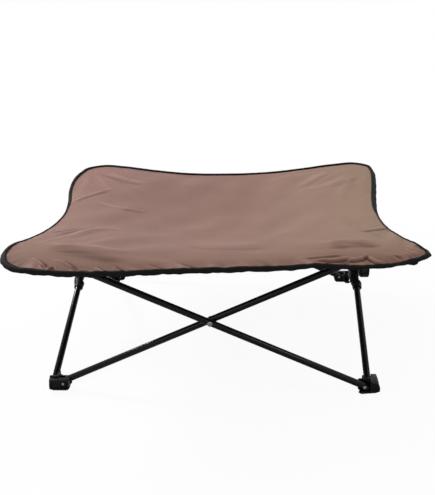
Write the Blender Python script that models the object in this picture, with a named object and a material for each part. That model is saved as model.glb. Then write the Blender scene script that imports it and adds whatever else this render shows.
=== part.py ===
"""Pet hammock: a cloth sheet on four corner arms, carried by a frame of crossed tubes that folds to a bundle.

The frame is the same on all four sides. Each side has two tubes that cross and turn on a rivet at their middle.
Each corner has a moulded foot and a moulded top bracket, with a clevis for each of the two sides that meet there.
Metres, +Z up, the front of the bed faces -Y, and the feet stand on z = 0.
"""
import math

import bmesh
import bpy
from mathutils import Matrix, Vector

for old in list(bpy.data.objects):
    bpy.data.objects.remove(old, do_unlink=True)

# Crossed tubes
HALF_SPACING = 0.268            # middle of the bed to a pivot, along the side
PLANE_OFFSET = 0.014            # pivot to the middle plane of the two tubes that cross
OPEN_ANGLE = math.radians(24.0)
TUBE_RADIUS = 0.006
TUBE_WALL = 0.0012
TUBE_END = 0.007                # tube past its end pivot
TUBE_SIDES = 14
LAYER_GAP = 0.0006              # between the two tubes that cross
FIT = 0.0003                    # clearance between pieces that touch on the real object

# Pivot pins and middle rivets
PIN_RADIUS = 0.0023
PIN_HEAD_RADIUS = 0.0046
PIN_HEAD_RISE = 0.0017
PIN_GRIP = 0.0018               # pin in the far wall of its clevis
RIVET_RADIUS = 0.0024
RIVET_HEAD_RADIUS = 0.0048
RIVET_HEAD_RISE = 0.002
PIN_SIDES = 8

# Moulded brackets
WALL = 0.0028                   # clevis wall
PIVOT_HEIGHT = 0.014            # floor to the lower pivots
FOOT_HEIGHT = 0.025
FLOOR = 0.0028                  # under the tube end in a foot
ROOF = 0.0025                   # over the tube end in a top bracket
SKIRT = 0.0115                  # top bracket below its pivots
INBOARD = 0.0106                # bracket past its pivots, to the middle of the side
SWING = 0.0007                  # round the turning tube end
BRACKET_CHAMFER = 0.0034
TOP_CHAMFER = 0.0012
BRACKET_ROUND = 0.0036
RIM = 0.0024
RECESS = 0.0007
BOSS_RADIUS = 0.0058
GUSSET = 0.0085

# Arms that carry the corners of the sheet
ARM_RISE = math.radians(9.0)
ARM_START = 0.0175              # pivot to the blind end of the arm's socket, along the side
ARM_DROP = 0.0015               # socket's blind end below the upper pivots
ARM_TO_EDGE = 0.008             # end of the arm's pocket inside the sheet's edge
SOCKET_DEPTH = 0.028
SOCKET_WALL = 0.0026
SOCKET_LIP = 0.0012
POCKET_LENGTH = 0.030
POCKET_WALL = 0.0014
POCKET_PATCH = 0.014            # half the sewn patch over the pocket
PATCH_THICKNESS = 0.0014

# Sleeves at the middle of the left and right sides
SLEEVE_LENGTH = 0.122
SLEEVE_WALL = 0.0036
SLEEVE_OPEN = 0.004             # tube's axis to the sleeve's open side
SLEEVE_LIP = 0.0044
SLEEVE_LIP_LENGTH = 0.006
SLEEVE_BOSS_RADIUS = 0.0078
SLEEVE_BOSS_RISE = 0.0022

# Sheet
LOBE_OVER_X = 0.093             # widest part of a corner lobe past the pivots
LOBE_OVER_Y = 0.117
WAIST_IN_X = 0.038              # drawn-in middle of an edge, from its lobes
WAIST_IN_Y = 0.039
LOBE_RADIUS = 0.100
SHEET_THICKNESS = 0.0024
SHEET_OVER = 0.006              # top of the brackets to the sheet
EDGE_SAG = 0.0125               # middle of an edge below the corners
MIDDLE_SAG = 0.042              # middle of the sheet below the corners
FOLD_DEPTH = 0.0022
FOLDS = 7                       # soft folds between two corners, as seen from a corner
FOLD_INSET = 0.018              # pivots to the line where the sheet bends down when folded
BINDING_DEPTH = 0.0115
BINDING_LIP = 0.0055
BINDING_THICKNESS = 0.0013
BINDING_EASE = 0.0008           # sewn binding round the sheet's edge
HALF_COLUMNS = 9
EDGE_COLUMNS = 4
SHEET_ROWS = 28

# Derived from the sizes above
LAYER = TUBE_RADIUS + LAYER_GAP / 2
MIDDLE_PLANE = HALF_SPACING + PLANE_OFFSET
INNER_PLANE = MIDDLE_PLANE - LAYER
OUTER_PLANE = MIDDLE_PLANE + LAYER
TUBE_SPAN = 2 * HALF_SPACING / math.cos(OPEN_ANGLE)
RISE = 2 * HALF_SPACING * math.tan(OPEN_ANGLE)
UPPER_PIVOT = PIVOT_HEIGHT + RISE
CROSSING = PIVOT_HEIGHT + RISE / 2
SLOT_HALF = TUBE_RADIUS + FIT
LEG_HALF = SLOT_HALF + WALL
REACH = math.hypot(TUBE_END, TUBE_RADIUS) + SWING
BRACKET_TOP = UPPER_PIVOT + REACH + ROOF
BRACKET_BOTTOM = UPPER_PIVOT - SKIRT
SLEEVE_BORE = TUBE_RADIUS + FIT
SLEEVE_RADIUS = SLEEVE_BORE + SLEEVE_WALL
SHEET_HALF_X = HALF_SPACING + LOBE_OVER_X
SHEET_HALF_Y = HALF_SPACING + LOBE_OVER_Y
WAIST_X = SHEET_HALF_X - WAIST_IN_X
WAIST_Y = SHEET_HALF_Y - WAIST_IN_Y
CORNER_HEIGHT = BRACKET_TOP + SHEET_OVER + SHEET_THICKNESS
FOLD_LINE = HALF_SPACING - FOLD_INSET
LOBE_X = SHEET_HALF_X - LOBE_RADIUS
LOBE_Y = SHEET_HALF_Y - LOBE_RADIUS
CORNER_TIP = (LOBE_X + LOBE_Y + math.sqrt(2 * LOBE_RADIUS**2 - (LOBE_X - LOBE_Y) ** 2)) / 2
ARM_REACH = CORNER_TIP * math.sqrt(2) - ARM_TO_EDGE - (HALF_SPACING + ARM_START) * math.sqrt(2)
ARM_LENGTH = ARM_REACH / math.cos(ARM_RISE) - POCKET_WALL - FIT

CORNERS = ("front_left", "front_right", "rear_right", "rear_left")
SIDES = ("front", "right", "rear", "left")


def material(name, colour, roughness, metallic=0.0):
    mat = bpy.data.materials.new(name)
    mat.use_nodes = True
    shader = mat.node_tree.nodes["Principled BSDF"]
    shader.inputs["Base Color"].default_value = (*colour, 1.0)
    shader.inputs["Roughness"].default_value = roughness
    shader.inputs["Metallic"].default_value = metallic
    mat.diffuse_color = (*colour, 1.0)
    return mat


NYLON = material("black_nylon", (0.012, 0.012, 0.013), 0.48)
COATED_TUBE = material("black_coated_tube", (0.018, 0.018, 0.02), 0.34)
STEEL = material("rivet_steel", (0.42, 0.42, 0.43), 0.36, 1.0)
CLOTH = material("mocha_cloth", (0.314, 0.202, 0.168), 0.8)
WEBBING = material("black_webbing", (0.014, 0.013, 0.013), 0.85)


def make_object(name, verts, faces, mat=None, smooth=True):
    """An object with outward faces from a list of points and a list of faces."""
    bm = bmesh.new()
    made = [bm.verts.new(v) for v in verts]
    for f in faces:
        bm.faces.new([made[i] for i in f])
    bmesh.ops.recalc_face_normals(bm, faces=bm.faces)
    mesh = bpy.data.meshes.new(name)
    bm.to_mesh(mesh)
    bm.free()
    ob = bpy.data.objects.new(name, mesh)
    bpy.context.scene.collection.objects.link(ob)
    if mat:
        mesh.materials.append(mat)
    if smooth:
        round_off(ob)
    return ob


def round_off(ob):
    """Smooth shading with sharp edges kept."""
    mesh = ob.data
    mesh.polygons.foreach_set("use_smooth", [True] * len(mesh.polygons))
    mesh.set_sharp_from_angle(angle=math.radians(35))
    mesh.update()


def loft(rings):
    """Points and faces of a body whose closed sections all have the same number of points."""
    n = len(rings[0])
    verts = [p for ring in rings for p in ring]
    faces = [tuple(range(n)), tuple(range((len(rings) - 1) * n, len(rings) * n))]
    for k in range(len(rings) - 1):
        for i in range(n):
            j = (i + 1) % n
            faces.append((k * n + i, k * n + j, (k + 1) * n + j, (k + 1) * n + i))
    return verts, faces


def circle(radius, z, sides, turn=0.0):
    return [
        Vector((radius * math.cos(turn + math.tau * i / sides), radius * math.sin(turn + math.tau * i / sides), z))
        for i in range(sides)
    ]


def rod(name, profile, sides, mat=None):
    """A body turned about Z from (radius, z) pairs, closed by its first and last section."""
    return make_object(name, *loft([circle(r, z, sides) for r, z in profile]), mat)


def box(name, low, high):
    x0, y0, z0 = low
    x1, y1, z1 = high
    ring = ((x0, y0), (x1, y0), (x1, y1), (x0, y1))
    return make_object(name, *loft([[Vector((x, y, z)) for x, y in ring] for z in (z0, z1)]), smooth=False)


def move(ob, matrix):
    ob.data.transform(matrix)
    if matrix.determinant() < 0:
        ob.data.flip_normals()
    ob.data.update()
    return ob


def combine(target, other, operation):
    """Exact Boolean of two closed bodies; the second one is used up."""
    mod = target.modifiers.new("cut", "BOOLEAN")
    mod.operation = operation
    mod.solver = "EXACT"
    mod.object = other
    bpy.context.view_layer.update()
    graph = bpy.context.evaluated_depsgraph_get()
    mesh = bpy.data.meshes.new_from_object(target.evaluated_get(graph))
    target.modifiers.clear()
    target.data = mesh
    bpy.data.objects.remove(other, do_unlink=True)
    return target


def cut(target, *others):
    for other in others:
        combine(target, other, "DIFFERENCE")
    return target


def add(target, *others):
    for other in others:
        combine(target, other, "UNION")
    return target


def finish(ob, name, mat):
    """Clean mesh, own material and smooth shading under the piece's own name."""
    bm = bmesh.new()
    bm.from_mesh(ob.data)
    bmesh.ops.remove_doubles(bm, verts=bm.verts, dist=0.000002)
    bmesh.ops.dissolve_degenerate(bm, edges=bm.edges, dist=0.000001)
    bmesh.ops.recalc_face_normals(bm, faces=bm.faces)
    bm.to_mesh(ob.data)
    bm.free()
    ob.name = name
    ob.data.name = name
    ob.data.materials.clear()
    ob.data.materials.append(mat)
    round_off(ob)
    return ob


def copy_of(ob, name, matrix):
    made = bpy.data.objects.new(name, ob.data.copy())
    bpy.context.scene.collection.objects.link(made)
    made.data.name = name
    return move(made, matrix)


def turned(k):
    """Turns the front side to side k: 0 front, 1 right, 2 rear, 3 left."""
    return Matrix.Rotation(math.pi / 2 * k, 4, "Z")


def corner_turn(k):
    """Turns a piece modelled at the rear right corner to corner k of CORNERS."""
    return Matrix.Rotation(math.pi + math.pi / 2 * k, 4, "Z")


def along(direction, point):
    """Places a body modelled along +Z, from its origin, along a direction through a point."""
    return Matrix.Translation(point) @ Vector(direction).to_track_quat("Z", "Y").to_matrix().to_4x4()


# Crossed tubes


def tube_blank():
    """A tube along +Z with its lower pivot at the origin, and holes for its pins and rivet along Y."""
    low = -TUBE_END
    high = TUBE_SPAN + TUBE_END
    ob = rod("tube", [(TUBE_RADIUS, low), (TUBE_RADIUS, high)], TUBE_SIDES)
    bore = rod("bore", [(TUBE_RADIUS - TUBE_WALL, low - TUBE_END), (TUBE_RADIUS - TUBE_WALL, high + TUBE_END)], TUBE_SIDES)
    cut(ob, bore)
    for z, radius in ((0.0, PIN_RADIUS), (TUBE_SPAN / 2, RIVET_RADIUS), (TUBE_SPAN, PIN_RADIUS)):
        drill = rod("drill", [(radius + FIT, -2 * TUBE_RADIUS), (radius + FIT, 2 * TUBE_RADIUS)], PIN_SIDES)
        move(drill, Matrix.Translation((0, 0, z)) @ Matrix.Rotation(math.pi / 2, 4, "X"))
        cut(ob, drill)
    return ob


def tube_place(rising_right, plane):
    """Stands the tube blank in the front side: from one foot up to the other side's top bracket."""
    sign = 1.0 if rising_right else -1.0
    start = Vector((-sign * HALF_SPACING, -plane, PIVOT_HEIGHT))
    lean = Matrix.Rotation(sign * (math.pi / 2 - OPEN_ANGLE), 4, "Y")
    return Matrix.Translation(start) @ lean


blank = tube_blank()
for k, side in enumerate(SIDES):
    for letter, rising_right, plane in (("a", True, INNER_PLANE), ("b", False, OUTER_PLANE)):
        tube = copy_of(blank, f"{side}_tube_{letter}", turned(k) @ tube_place(rising_right, plane))
        finish(tube, f"{side}_tube_{letter}", COATED_TUBE)
bpy.data.objects.remove(blank, do_unlink=True)


# Rivets where the tubes cross


def rivet(name, half_grip):
    """A rivet along Y, with a domed head on both sides."""
    top = half_grip + FIT
    head = [
        (RIVET_HEAD_RADIUS, top),
        (RIVET_HEAD_RADIUS * 0.94, top + RIVET_HEAD_RISE * 0.45),
        (RIVET_HEAD_RADIUS * 0.62, top + RIVET_HEAD_RISE * 0.85),
        (RIVET_HEAD_RADIUS * 0.18, top + RIVET_HEAD_RISE),
    ]
    profile = [(r, -z) for r, z in reversed(head)] + [(RIVET_RADIUS, -top), (RIVET_RADIUS, top)] + head
    ob = rod(name, profile, PIN_SIDES)
    return move(ob, Matrix.Rotation(math.pi / 2, 4, "X"))


for k, side in enumerate(SIDES):
    plain = side in ("front", "rear")
    grip = LAYER + TUBE_RADIUS if plain else LAYER + SLEEVE_RADIUS + SLEEVE_BOSS_RISE
    ob = rivet("rivet", grip)
    move(ob, turned(k) @ Matrix.Translation((0, -MIDDLE_PLANE, CROSSING)))
    finish(ob, f"{side}_middle_rivet", STEEL)


# Sleeves round the tubes at the middle of the left and right sides


def sleeve_blank():
    """A flared sleeve along Z round the tube, open towards +Y, where the other tube crosses."""
    half = SLEEVE_LENGTH / 2
    lip = SLEEVE_BORE + SLEEVE_LIP
    profile = [
        (lip, -half),
        (lip, -half + SLEEVE_LIP_LENGTH * 0.5),
        (SLEEVE_RADIUS, -half + SLEEVE_LIP_LENGTH),
        (SLEEVE_RADIUS, half - SLEEVE_LIP_LENGTH),
        (lip, half - SLEEVE_LIP_LENGTH * 0.5),
        (lip, half),
    ]
    ob = rod("sleeve", profile, TUBE_SIDES)
    boss = rod("boss", [(SLEEVE_BOSS_RADIUS, 0), (SLEEVE_BOSS_RADIUS, SLEEVE_RADIUS + SLEEVE_BOSS_RISE)], TUBE_SIDES)
    add(ob, move(boss, Matrix.Rotation(math.pi / 2, 4, "X")))
    bore = rod("bore", [(SLEEVE_BORE, -half - lip), (SLEEVE_BORE, half + lip)], TUBE_SIDES)
    side = box("side", (-4 * lip, SLEEVE_OPEN, -2 * half), (4 * lip, 4 * lip, 2 * half))
    drill = rod("drill", [(RIVET_RADIUS + FIT, -4 * lip), (RIVET_RADIUS + FIT, 4 * lip)], PIN_SIDES)
    move(drill, Matrix.Rotation(math.pi / 2, 4, "X"))
    return cut(ob, bore, side, drill)


blank = sleeve_blank()
middle = Matrix.Translation((0, 0, TUBE_SPAN / 2))
for k, side in ((1, "right"), (3, "left")):
    # The outer tube's sleeve is open towards the middle of the bed, the inner tube's away from it.
    outer = turned(k) @ tube_place(False, OUTER_PLANE) @ middle
    inner = turned(k) @ tube_place(True, INNER_PLANE) @ middle @ Matrix.Rotation(math.pi, 4, "Z")
    finish(copy_of(blank, "sleeve", outer), f"{side}_outer_sleeve", NYLON)
    finish(copy_of(blank, "sleeve", inner), f"{side}_inner_sleeve", NYLON)
bpy.data.objects.remove(blank, do_unlink=True)


# Moulded brackets, modelled at the rear right corner


def ell(x_plane, y_plane, inset, z):
    """L-shaped section: one leg along X round the plane y = x_plane, one along Y round x = y_plane."""
    end = HALF_SPACING - INBOARD + inset
    half = LEG_HALF - inset
    low_x, high_x = y_plane - half, y_plane + half
    low_y, high_y = x_plane - half, x_plane + half
    corners = [
        ((end, low_y), 1),
        ((low_x, low_y), -1),
        ((low_x, end), 1),
        ((high_x, end), 1),
        ((high_x, high_y), 1),
        ((end, high_y), 1),
    ]
    points = []
    count = len(corners)
    for i, ((x, y), convex) in enumerate(corners):
        here = Vector((x, y))
        back = (Vector(corners[i - 1][0]) - here).normalized()
        ahead = (Vector(corners[(i + 1) % count][0]) - here).normalized()
        radius = BRACKET_ROUND * 0.6 if convex > 0 else BRACKET_ROUND
        radius = max(radius - convex * inset * 0.5, BRACKET_ROUND * 0.2)
        centre = here + (back + ahead) * radius
        for step in range(3):
            t = math.pi / 2 * step / 2
            p = centre - back * radius * math.sin(t) - ahead * radius * math.cos(t)
            points.append(Vector((p.x, p.y, z)))
    return points


def recess(x_plane, y_plane, low, high, on_x_leg):
    """Shallow panel in a leg's outer face, with a round land left for the pin head."""
    start = HALF_SPACING - INBOARD + RIM
    if on_x_leg:
        face, stop = x_plane + LEG_HALF, y_plane + LEG_HALF - RIM * 1.6
        ob = box("recess", (start, face - RECESS, low), (stop, face + RECESS, high))
        pivot = Vector((HALF_SPACING, face, 0))
        turn = Matrix.Rotation(math.pi / 2, 4, "X")
    else:
        face, stop = y_plane + LEG_HALF, x_plane + LEG_HALF - RIM * 1.6
        ob = box("recess", (face - RECESS, start, low), (face + RECESS, stop, high))
        pivot = Vector((face, HALF_SPACING, 0))
        turn = Matrix.Rotation(math.pi / 2, 4, "Y")
    return ob, pivot, turn


def bracket(x_plane, y_plane, pivot_z, low, high, open_top):
    """Bracket with a clevis in each leg, open to the bed's middle and upwards (foot) or downwards (top)."""
    bottom = BRACKET_CHAMFER if open_top else TOP_CHAMFER
    top = TOP_CHAMFER if open_top else TOP_CHAMFER
    rings = [
        ell(x_plane, y_plane, bottom, low),
        ell(x_plane, y_plane, 0.0, low + bottom),
        ell(x_plane, y_plane, 0.0, high - top),
        ell(x_plane, y_plane, top, high),
    ]
    ob = make_object("bracket", *loft(rings))
    corner_x, corner_y = y_plane - LEG_HALF, x_plane - LEG_HALF
    web = [(corner_x - GUSSET, corner_y + WALL), (corner_x + WALL, corner_y - GUSSET), (corner_x + WALL, corner_y + WALL)]
    web_low, web_high = (low + BRACKET_CHAMFER, high - 3 * TOP_CHAMFER) if open_top else (low + 3 * TOP_CHAMFER, high - TOP_CHAMFER)
    add(ob, make_object("web", *loft([[Vector((x, y, z)) for x, y in web] for z in (web_low, web_high)]), smooth=False))
    rim_low, rim_high = low + bottom + RIM * 0.5, high - top - RIM * 0.5
    for on_x_leg in (True, False):
        panel, pivot, turn = recess(x_plane, y_plane, rim_low, rim_high, on_x_leg)
        land = rod("land", [(BOSS_RADIUS, -4 * RECESS), (BOSS_RADIUS, 4 * RECESS)], TUBE_SIDES)
        pivot.z = pivot_z
        cut(panel, move(land, Matrix.Translation(pivot) @ turn))
        cut(ob, panel)
    far = HALF_SPACING + REACH
    near = HALF_SPACING - 3 * INBOARD
    z0, z1 = (low + FLOOR, high + FLOOR) if open_top else (low - ROOF, high - ROOF)
    cut(ob, box("slot", (near, x_plane - SLOT_HALF, z0), (far, x_plane + SLOT_HALF, z1)))
    cut(ob, box("slot", (y_plane - SLOT_HALF, near, z0), (y_plane + SLOT_HALF, far, z1)))
    depth = WALL + 2 * SLOT_HALF + PIN_GRIP + FIT
    for on_x_leg in (True, False):
        drill = rod("drill", [(PIN_RADIUS + FIT, -depth), (PIN_RADIUS + FIT, WALL)], PIN_SIDES)
        cut(ob, move(drill, pin_place(x_plane, y_plane, pivot_z, on_x_leg)))
    return ob


def pin_place(x_plane, y_plane, pivot_z, on_x_leg):
    """Puts a body along Z on a clevis's axis, its origin on the outer face and +Z outwards."""
    if on_x_leg:
        return along((0, 1, 0), (HALF_SPACING, x_plane + LEG_HALF, pivot_z))
    return along((1, 0, 0), (y_plane + LEG_HALF, HALF_SPACING, pivot_z))


def pin(name):
    """Headed pin along Z: head outside the outer face, shank through the tube into the far wall."""
    depth = WALL + 2 * SLOT_HALF + PIN_GRIP
    profile = [
        (PIN_RADIUS * 0.8, -depth),
        (PIN_RADIUS, -depth + PIN_RADIUS * 0.3),
        (PIN_RADIUS, FIT),
        (PIN_HEAD_RADIUS, FIT),
        (PIN_HEAD_RADIUS * 0.94, FIT + PIN_HEAD_RISE * 0.45),
        (PIN_HEAD_RADIUS * 0.6, FIT + PIN_HEAD_RISE),
    ]
    return rod(name, profile, PIN_SIDES)


def arm_axis(distance):
    """Point on the arm's axis, that far along it from the blind end of its socket, at the rear right corner."""
    start = HALF_SPACING + ARM_START
    flat = distance * math.cos(ARM_RISE) / math.sqrt(2)
    return Vector((start + flat, start + flat, UPPER_PIVOT - ARM_DROP + distance * math.sin(ARM_RISE)))


ARM_DIRECTION = (math.cos(ARM_RISE) / math.sqrt(2), math.cos(ARM_RISE) / math.sqrt(2), math.sin(ARM_RISE))

foot_blank = bracket(INNER_PLANE, OUTER_PLANE, PIVOT_HEIGHT, 0.0, FOOT_HEIGHT, True)
top_blank = bracket(OUTER_PLANE, INNER_PLANE, UPPER_PIVOT, BRACKET_BOTTOM, BRACKET_TOP, False)

socket_radius = TUBE_RADIUS + FIT + SOCKET_WALL
socket = rod(
    "socket",
    [
        (socket_radius, -socket_radius * 0.25),
        (socket_radius, SOCKET_DEPTH - 4 * SOCKET_LIP),
        (socket_radius + SOCKET_LIP, SOCKET_DEPTH - 3 * SOCKET_LIP),
        (socket_radius + SOCKET_LIP, SOCKET_DEPTH),
    ],
    TUBE_SIDES,
)
add(top_blank, move(socket, along(ARM_DIRECTION, arm_axis(0))))
socket_bore = rod("bore", [(TUBE_RADIUS + FIT, 0), (TUBE_RADIUS + FIT, 2 * SOCKET_DEPTH)], TUBE_SIDES)
cut(top_blank, move(socket_bore, along(ARM_DIRECTION, arm_axis(0))))

for k, corner in enumerate(CORNERS):
    finish(copy_of(foot_blank, "foot", corner_turn(k)), f"{corner}_foot", NYLON)
    finish(copy_of(top_blank, "top", corner_turn(k)), f"{corner}_top_bracket", NYLON)
    for on_x_leg in (True, False):
        # At the front and rear corners the leg along X belongs to another side than at the left and right ones.
        side = SIDES[k] if on_x_leg else SIDES[(k + 3) % 4]
        foot_pin = pin("pin")
        move(foot_pin, corner_turn(k) @ pin_place(INNER_PLANE, OUTER_PLANE, PIVOT_HEIGHT, on_x_leg))
        finish(foot_pin, f"{corner}_foot_pin_{side}", STEEL)
        top_pin = pin("pin")
        move(top_pin, corner_turn(k) @ pin_place(OUTER_PLANE, INNER_PLANE, UPPER_PIVOT, on_x_leg))
        finish(top_pin, f"{corner}_top_pin_{side}", STEEL)
bpy.data.objects.remove(foot_blank, do_unlink=True)
bpy.data.objects.remove(top_blank, do_unlink=True)


# Sheet


def ease(t):
    """0 to 1 with flat ends."""
    t = min(max(t, 0.0), 1.0)
    return t * t * t * (t * (6 * t - 15) + 10)


def lobe_share(t):
    """How far an edge has swung out from its waist to its lobe, t from 0 at the middle to 1."""
    return math.sin(math.pi / 2 * min(abs(t), 1.0) ** 2.0) ** 2


def edge_x(y):
    """Outline's x on the right side at this y."""
    if abs(y) <= LOBE_Y:
        return WAIST_X + (SHEET_HALF_X - WAIST_X) * lobe_share(y / LOBE_Y)
    return LOBE_X + math.sqrt(max(LOBE_RADIUS**2 - (abs(y) - LOBE_Y) ** 2, 0.0))


def edge_y(x):
    """Outline's y at the rear at this x, between the two lobes."""
    return WAIST_Y + (SHEET_HALF_Y - WAIST_Y) * lobe_share(x / LOBE_X)


def height(x, y):
    """Top of the sheet: level at the corners, drawn down along the edges and lowest in the middle."""
    s = ease(abs(x) / WAIST_X)
    t = ease(abs(y) / WAIST_Y)
    middle = (1 - s) * (1 - t)
    edges = s * (1 - t) + t * (1 - s)
    z = CORNER_HEIGHT - MIDDLE_SAG * middle - EDGE_SAG * edges
    # Soft folds fan out from each corner and die away at the corners and in the middle.
    angle = math.atan2(LOBE_Y - abs(y), LOBE_X - abs(x)) if abs(x) < LOBE_X or abs(y) < LOBE_Y else 0.0
    reach = math.hypot(LOBE_X - abs(x), LOBE_Y - abs(y)) / LOBE_X
    swell = max(0.0, 1 - abs(reach - 0.55) / 0.5) if abs(x) < LOBE_X and abs(y) < LOBE_Y else 0.0
    return z + FOLD_DEPTH * swell * math.cos(FOLDS * 2 * angle) * min(1.0, 4 * middle + 4 * edges)


def cloth(name, columns):
    """Closed piece of sheet from columns of top points, each column from front to rear."""
    rows = len(columns[0])
    count = len(columns) * rows
    top = [p for column in columns for p in column]
    verts = top + [p - Vector((0, 0, SHEET_THICKNESS)) for p in top]
    faces = []
    for c in range(len(columns) - 1):
        for r in range(rows - 1):
            i = c * rows + r
            faces.append((i, i + rows, i + rows + 1, i + 1))
            faces.append((count + i, count + i + 1, count + i + rows + 1, count + i + rows))
    rim = [r for r in range(rows)]
    rim += [c * rows + rows - 1 for c in range(1, len(columns))]
    rim += [(len(columns) - 1) * rows + r for r in range(rows - 2, -1, -1)]
    rim += [c * rows for c in range(len(columns) - 2, 0, -1)]
    for i, here in enumerate(rim):
        ahead = rim[(i + 1) % len(rim)]
        faces.append((here, ahead, count + ahead, count + here))
    ob = make_object(name, verts, faces)
    return finish(ob, name, CLOTH)


CLOTH_INSET = BINDING_THICKNESS + BINDING_EASE      # the sheet's edge inside its binding


def half_columns(sign):
    """Columns of the half between the fold line and the middle."""
    columns = []
    for c in range(HALF_COLUMNS + 1):
        x = FIT / 2 + (FOLD_LINE - FIT) * c / HALF_COLUMNS
        reach = edge_y(x) - CLOTH_INSET
        column = []
        for r in range(SHEET_ROWS + 1):
            y = reach * (2 * r / SHEET_ROWS - 1)
            column.append(Vector((sign * x, y, height(x, y))))
        columns.append(column)
    return columns


def side_columns(sign):
    """Columns of the border outside the fold line, with its two lobes."""
    columns = []
    last = LOBE_Y + math.sqrt(max(LOBE_RADIUS**2 - (FOLD_LINE + FIT / 2 - LOBE_X) ** 2, 0.0)) - CLOTH_INSET
    last = min(last, SHEET_HALF_Y - CLOTH_INSET)
    for c in range(EDGE_COLUMNS + 1):
        column = []
        for r in range(SHEET_ROWS + 1):
            turn = math.pi * (r / SHEET_ROWS - 0.5)
            y = last * (0.35 * math.sin(turn) + 0.65 * (2 * r / SHEET_ROWS - 1))
            start = FOLD_LINE + FIT / 2
            stop = max(inset_edge_x(y), start + 4 * CLOTH_INSET)
            x = start + (stop - start) * c / EDGE_COLUMNS
            column.append(Vector((sign * x, y, height(x, y))))
        columns.append(column)
    return columns


def inset_edge_x(y):
    """Right edge of the sheet inside its binding at this y."""
    if abs(y) <= LOBE_Y:
        return edge_x(y) - CLOTH_INSET
    radius = LOBE_RADIUS - CLOTH_INSET
    return LOBE_X + math.sqrt(max(radius**2 - (abs(y) - LOBE_Y) ** 2, 0.0))


for sign, side in ((-1, "left"), (1, "right")):
    cloth(f"sheet_{side}_half", half_columns(sign))
    cloth(f"sheet_{side}_border", side_columns(sign))


# Binding sewn round the edge: a strip that laps over the sheet and hangs below it


def binding(name, outline):
    """Sweeps the binding's section along (x, y, outward x, outward y) points of the outline."""
    rings = []
    for x, y, nx, ny in outline:
        out = Vector((nx, ny, 0))
        here = Vector((x, y, 0))
        inside = here - out * (BINDING_LIP + BINDING_THICKNESS)
        lip = height(inside.x, inside.y) + BINDING_EASE
        edge = height(x - nx * CLOTH_INSET, y - ny * CLOTH_INSET) + BINDING_EASE
        up = Vector((0, 0, 1))
        rings.append(
            [
                here - out * BINDING_THICKNESS + up * (edge - BINDING_DEPTH),
                here + up * (edge - BINDING_DEPTH),
                here + up * (edge + BINDING_THICKNESS * 0.4),
                here - out * BINDING_THICKNESS * 0.8 + up * (edge + BINDING_THICKNESS),
                inside + up * (lip + BINDING_THICKNESS),
                inside + up * lip,
                here - out * BINDING_THICKNESS + up * edge,
            ]
        )
    ob = make_object(name, *loft(rings))
    return finish(ob, name, WEBBING)


def front_outline(x0, x1, steps, sign_y):
    points = []
    for i in range(steps + 1):
        x = x0 + (x1 - x0) * i / steps
        slope = (edge_y(x + 0.0005) - edge_y(x - 0.0005)) / 0.001
        normal = Vector((-slope, 1.0)).normalized()
        points.append((x, sign_y * edge_y(x), normal.x, sign_y * normal.y))
    return points


def side_outline(sign_x):
    """Right or left edge from the front fold line round both lobes to the rear one."""
    points = []
    first = math.asin(max(-1.0, min(1.0, (LOBE_X - FOLD_LINE - FIT / 2) / LOBE_RADIUS)))
    steps = 10
    for i in range(steps + 1):
        turn = -math.pi / 2 - first + (math.pi / 2 + first) * i / steps
        nx, ny = math.cos(turn), math.sin(turn)
        points.append((LOBE_X + LOBE_RADIUS * nx, -LOBE_Y + LOBE_RADIUS * ny, nx, ny))
    steps = 20
    for i in range(1, steps):
        y = -LOBE_Y + 2 * LOBE_Y * i / steps
        slope = (edge_x(y + 0.0005) - edge_x(y - 0.0005)) / 0.001
        normal = Vector((1.0, -slope)).normalized()
        points.append((edge_x(y), y, normal.x, normal.y))
    steps = 10
    for i in range(steps + 1):
        turn = (math.pi / 2 + first) * i / steps
        nx, ny = math.cos(turn), math.sin(turn)
        points.append((LOBE_X + LOBE_RADIUS * nx, LOBE_Y + LOBE_RADIUS * ny, nx, ny))
    return [(sign_x * x, y, sign_x * nx, ny) for x, y, nx, ny in points]


binding("binding_right", side_outline(1))
binding("binding_left", side_outline(-1))
for side_sign, side in ((-1, "left"), (1, "right")):
    for end_sign, end in ((-1, "front"), (1, "rear")):
        line = front_outline(FIT / 2, FOLD_LINE - FIT / 2, 7, end_sign)
        binding(f"binding_{end}_{side}", [(side_sign * x, y, side_sign * nx, ny) for x, y, nx, ny in line])


# Arms and the pockets sewn under the corners


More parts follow.
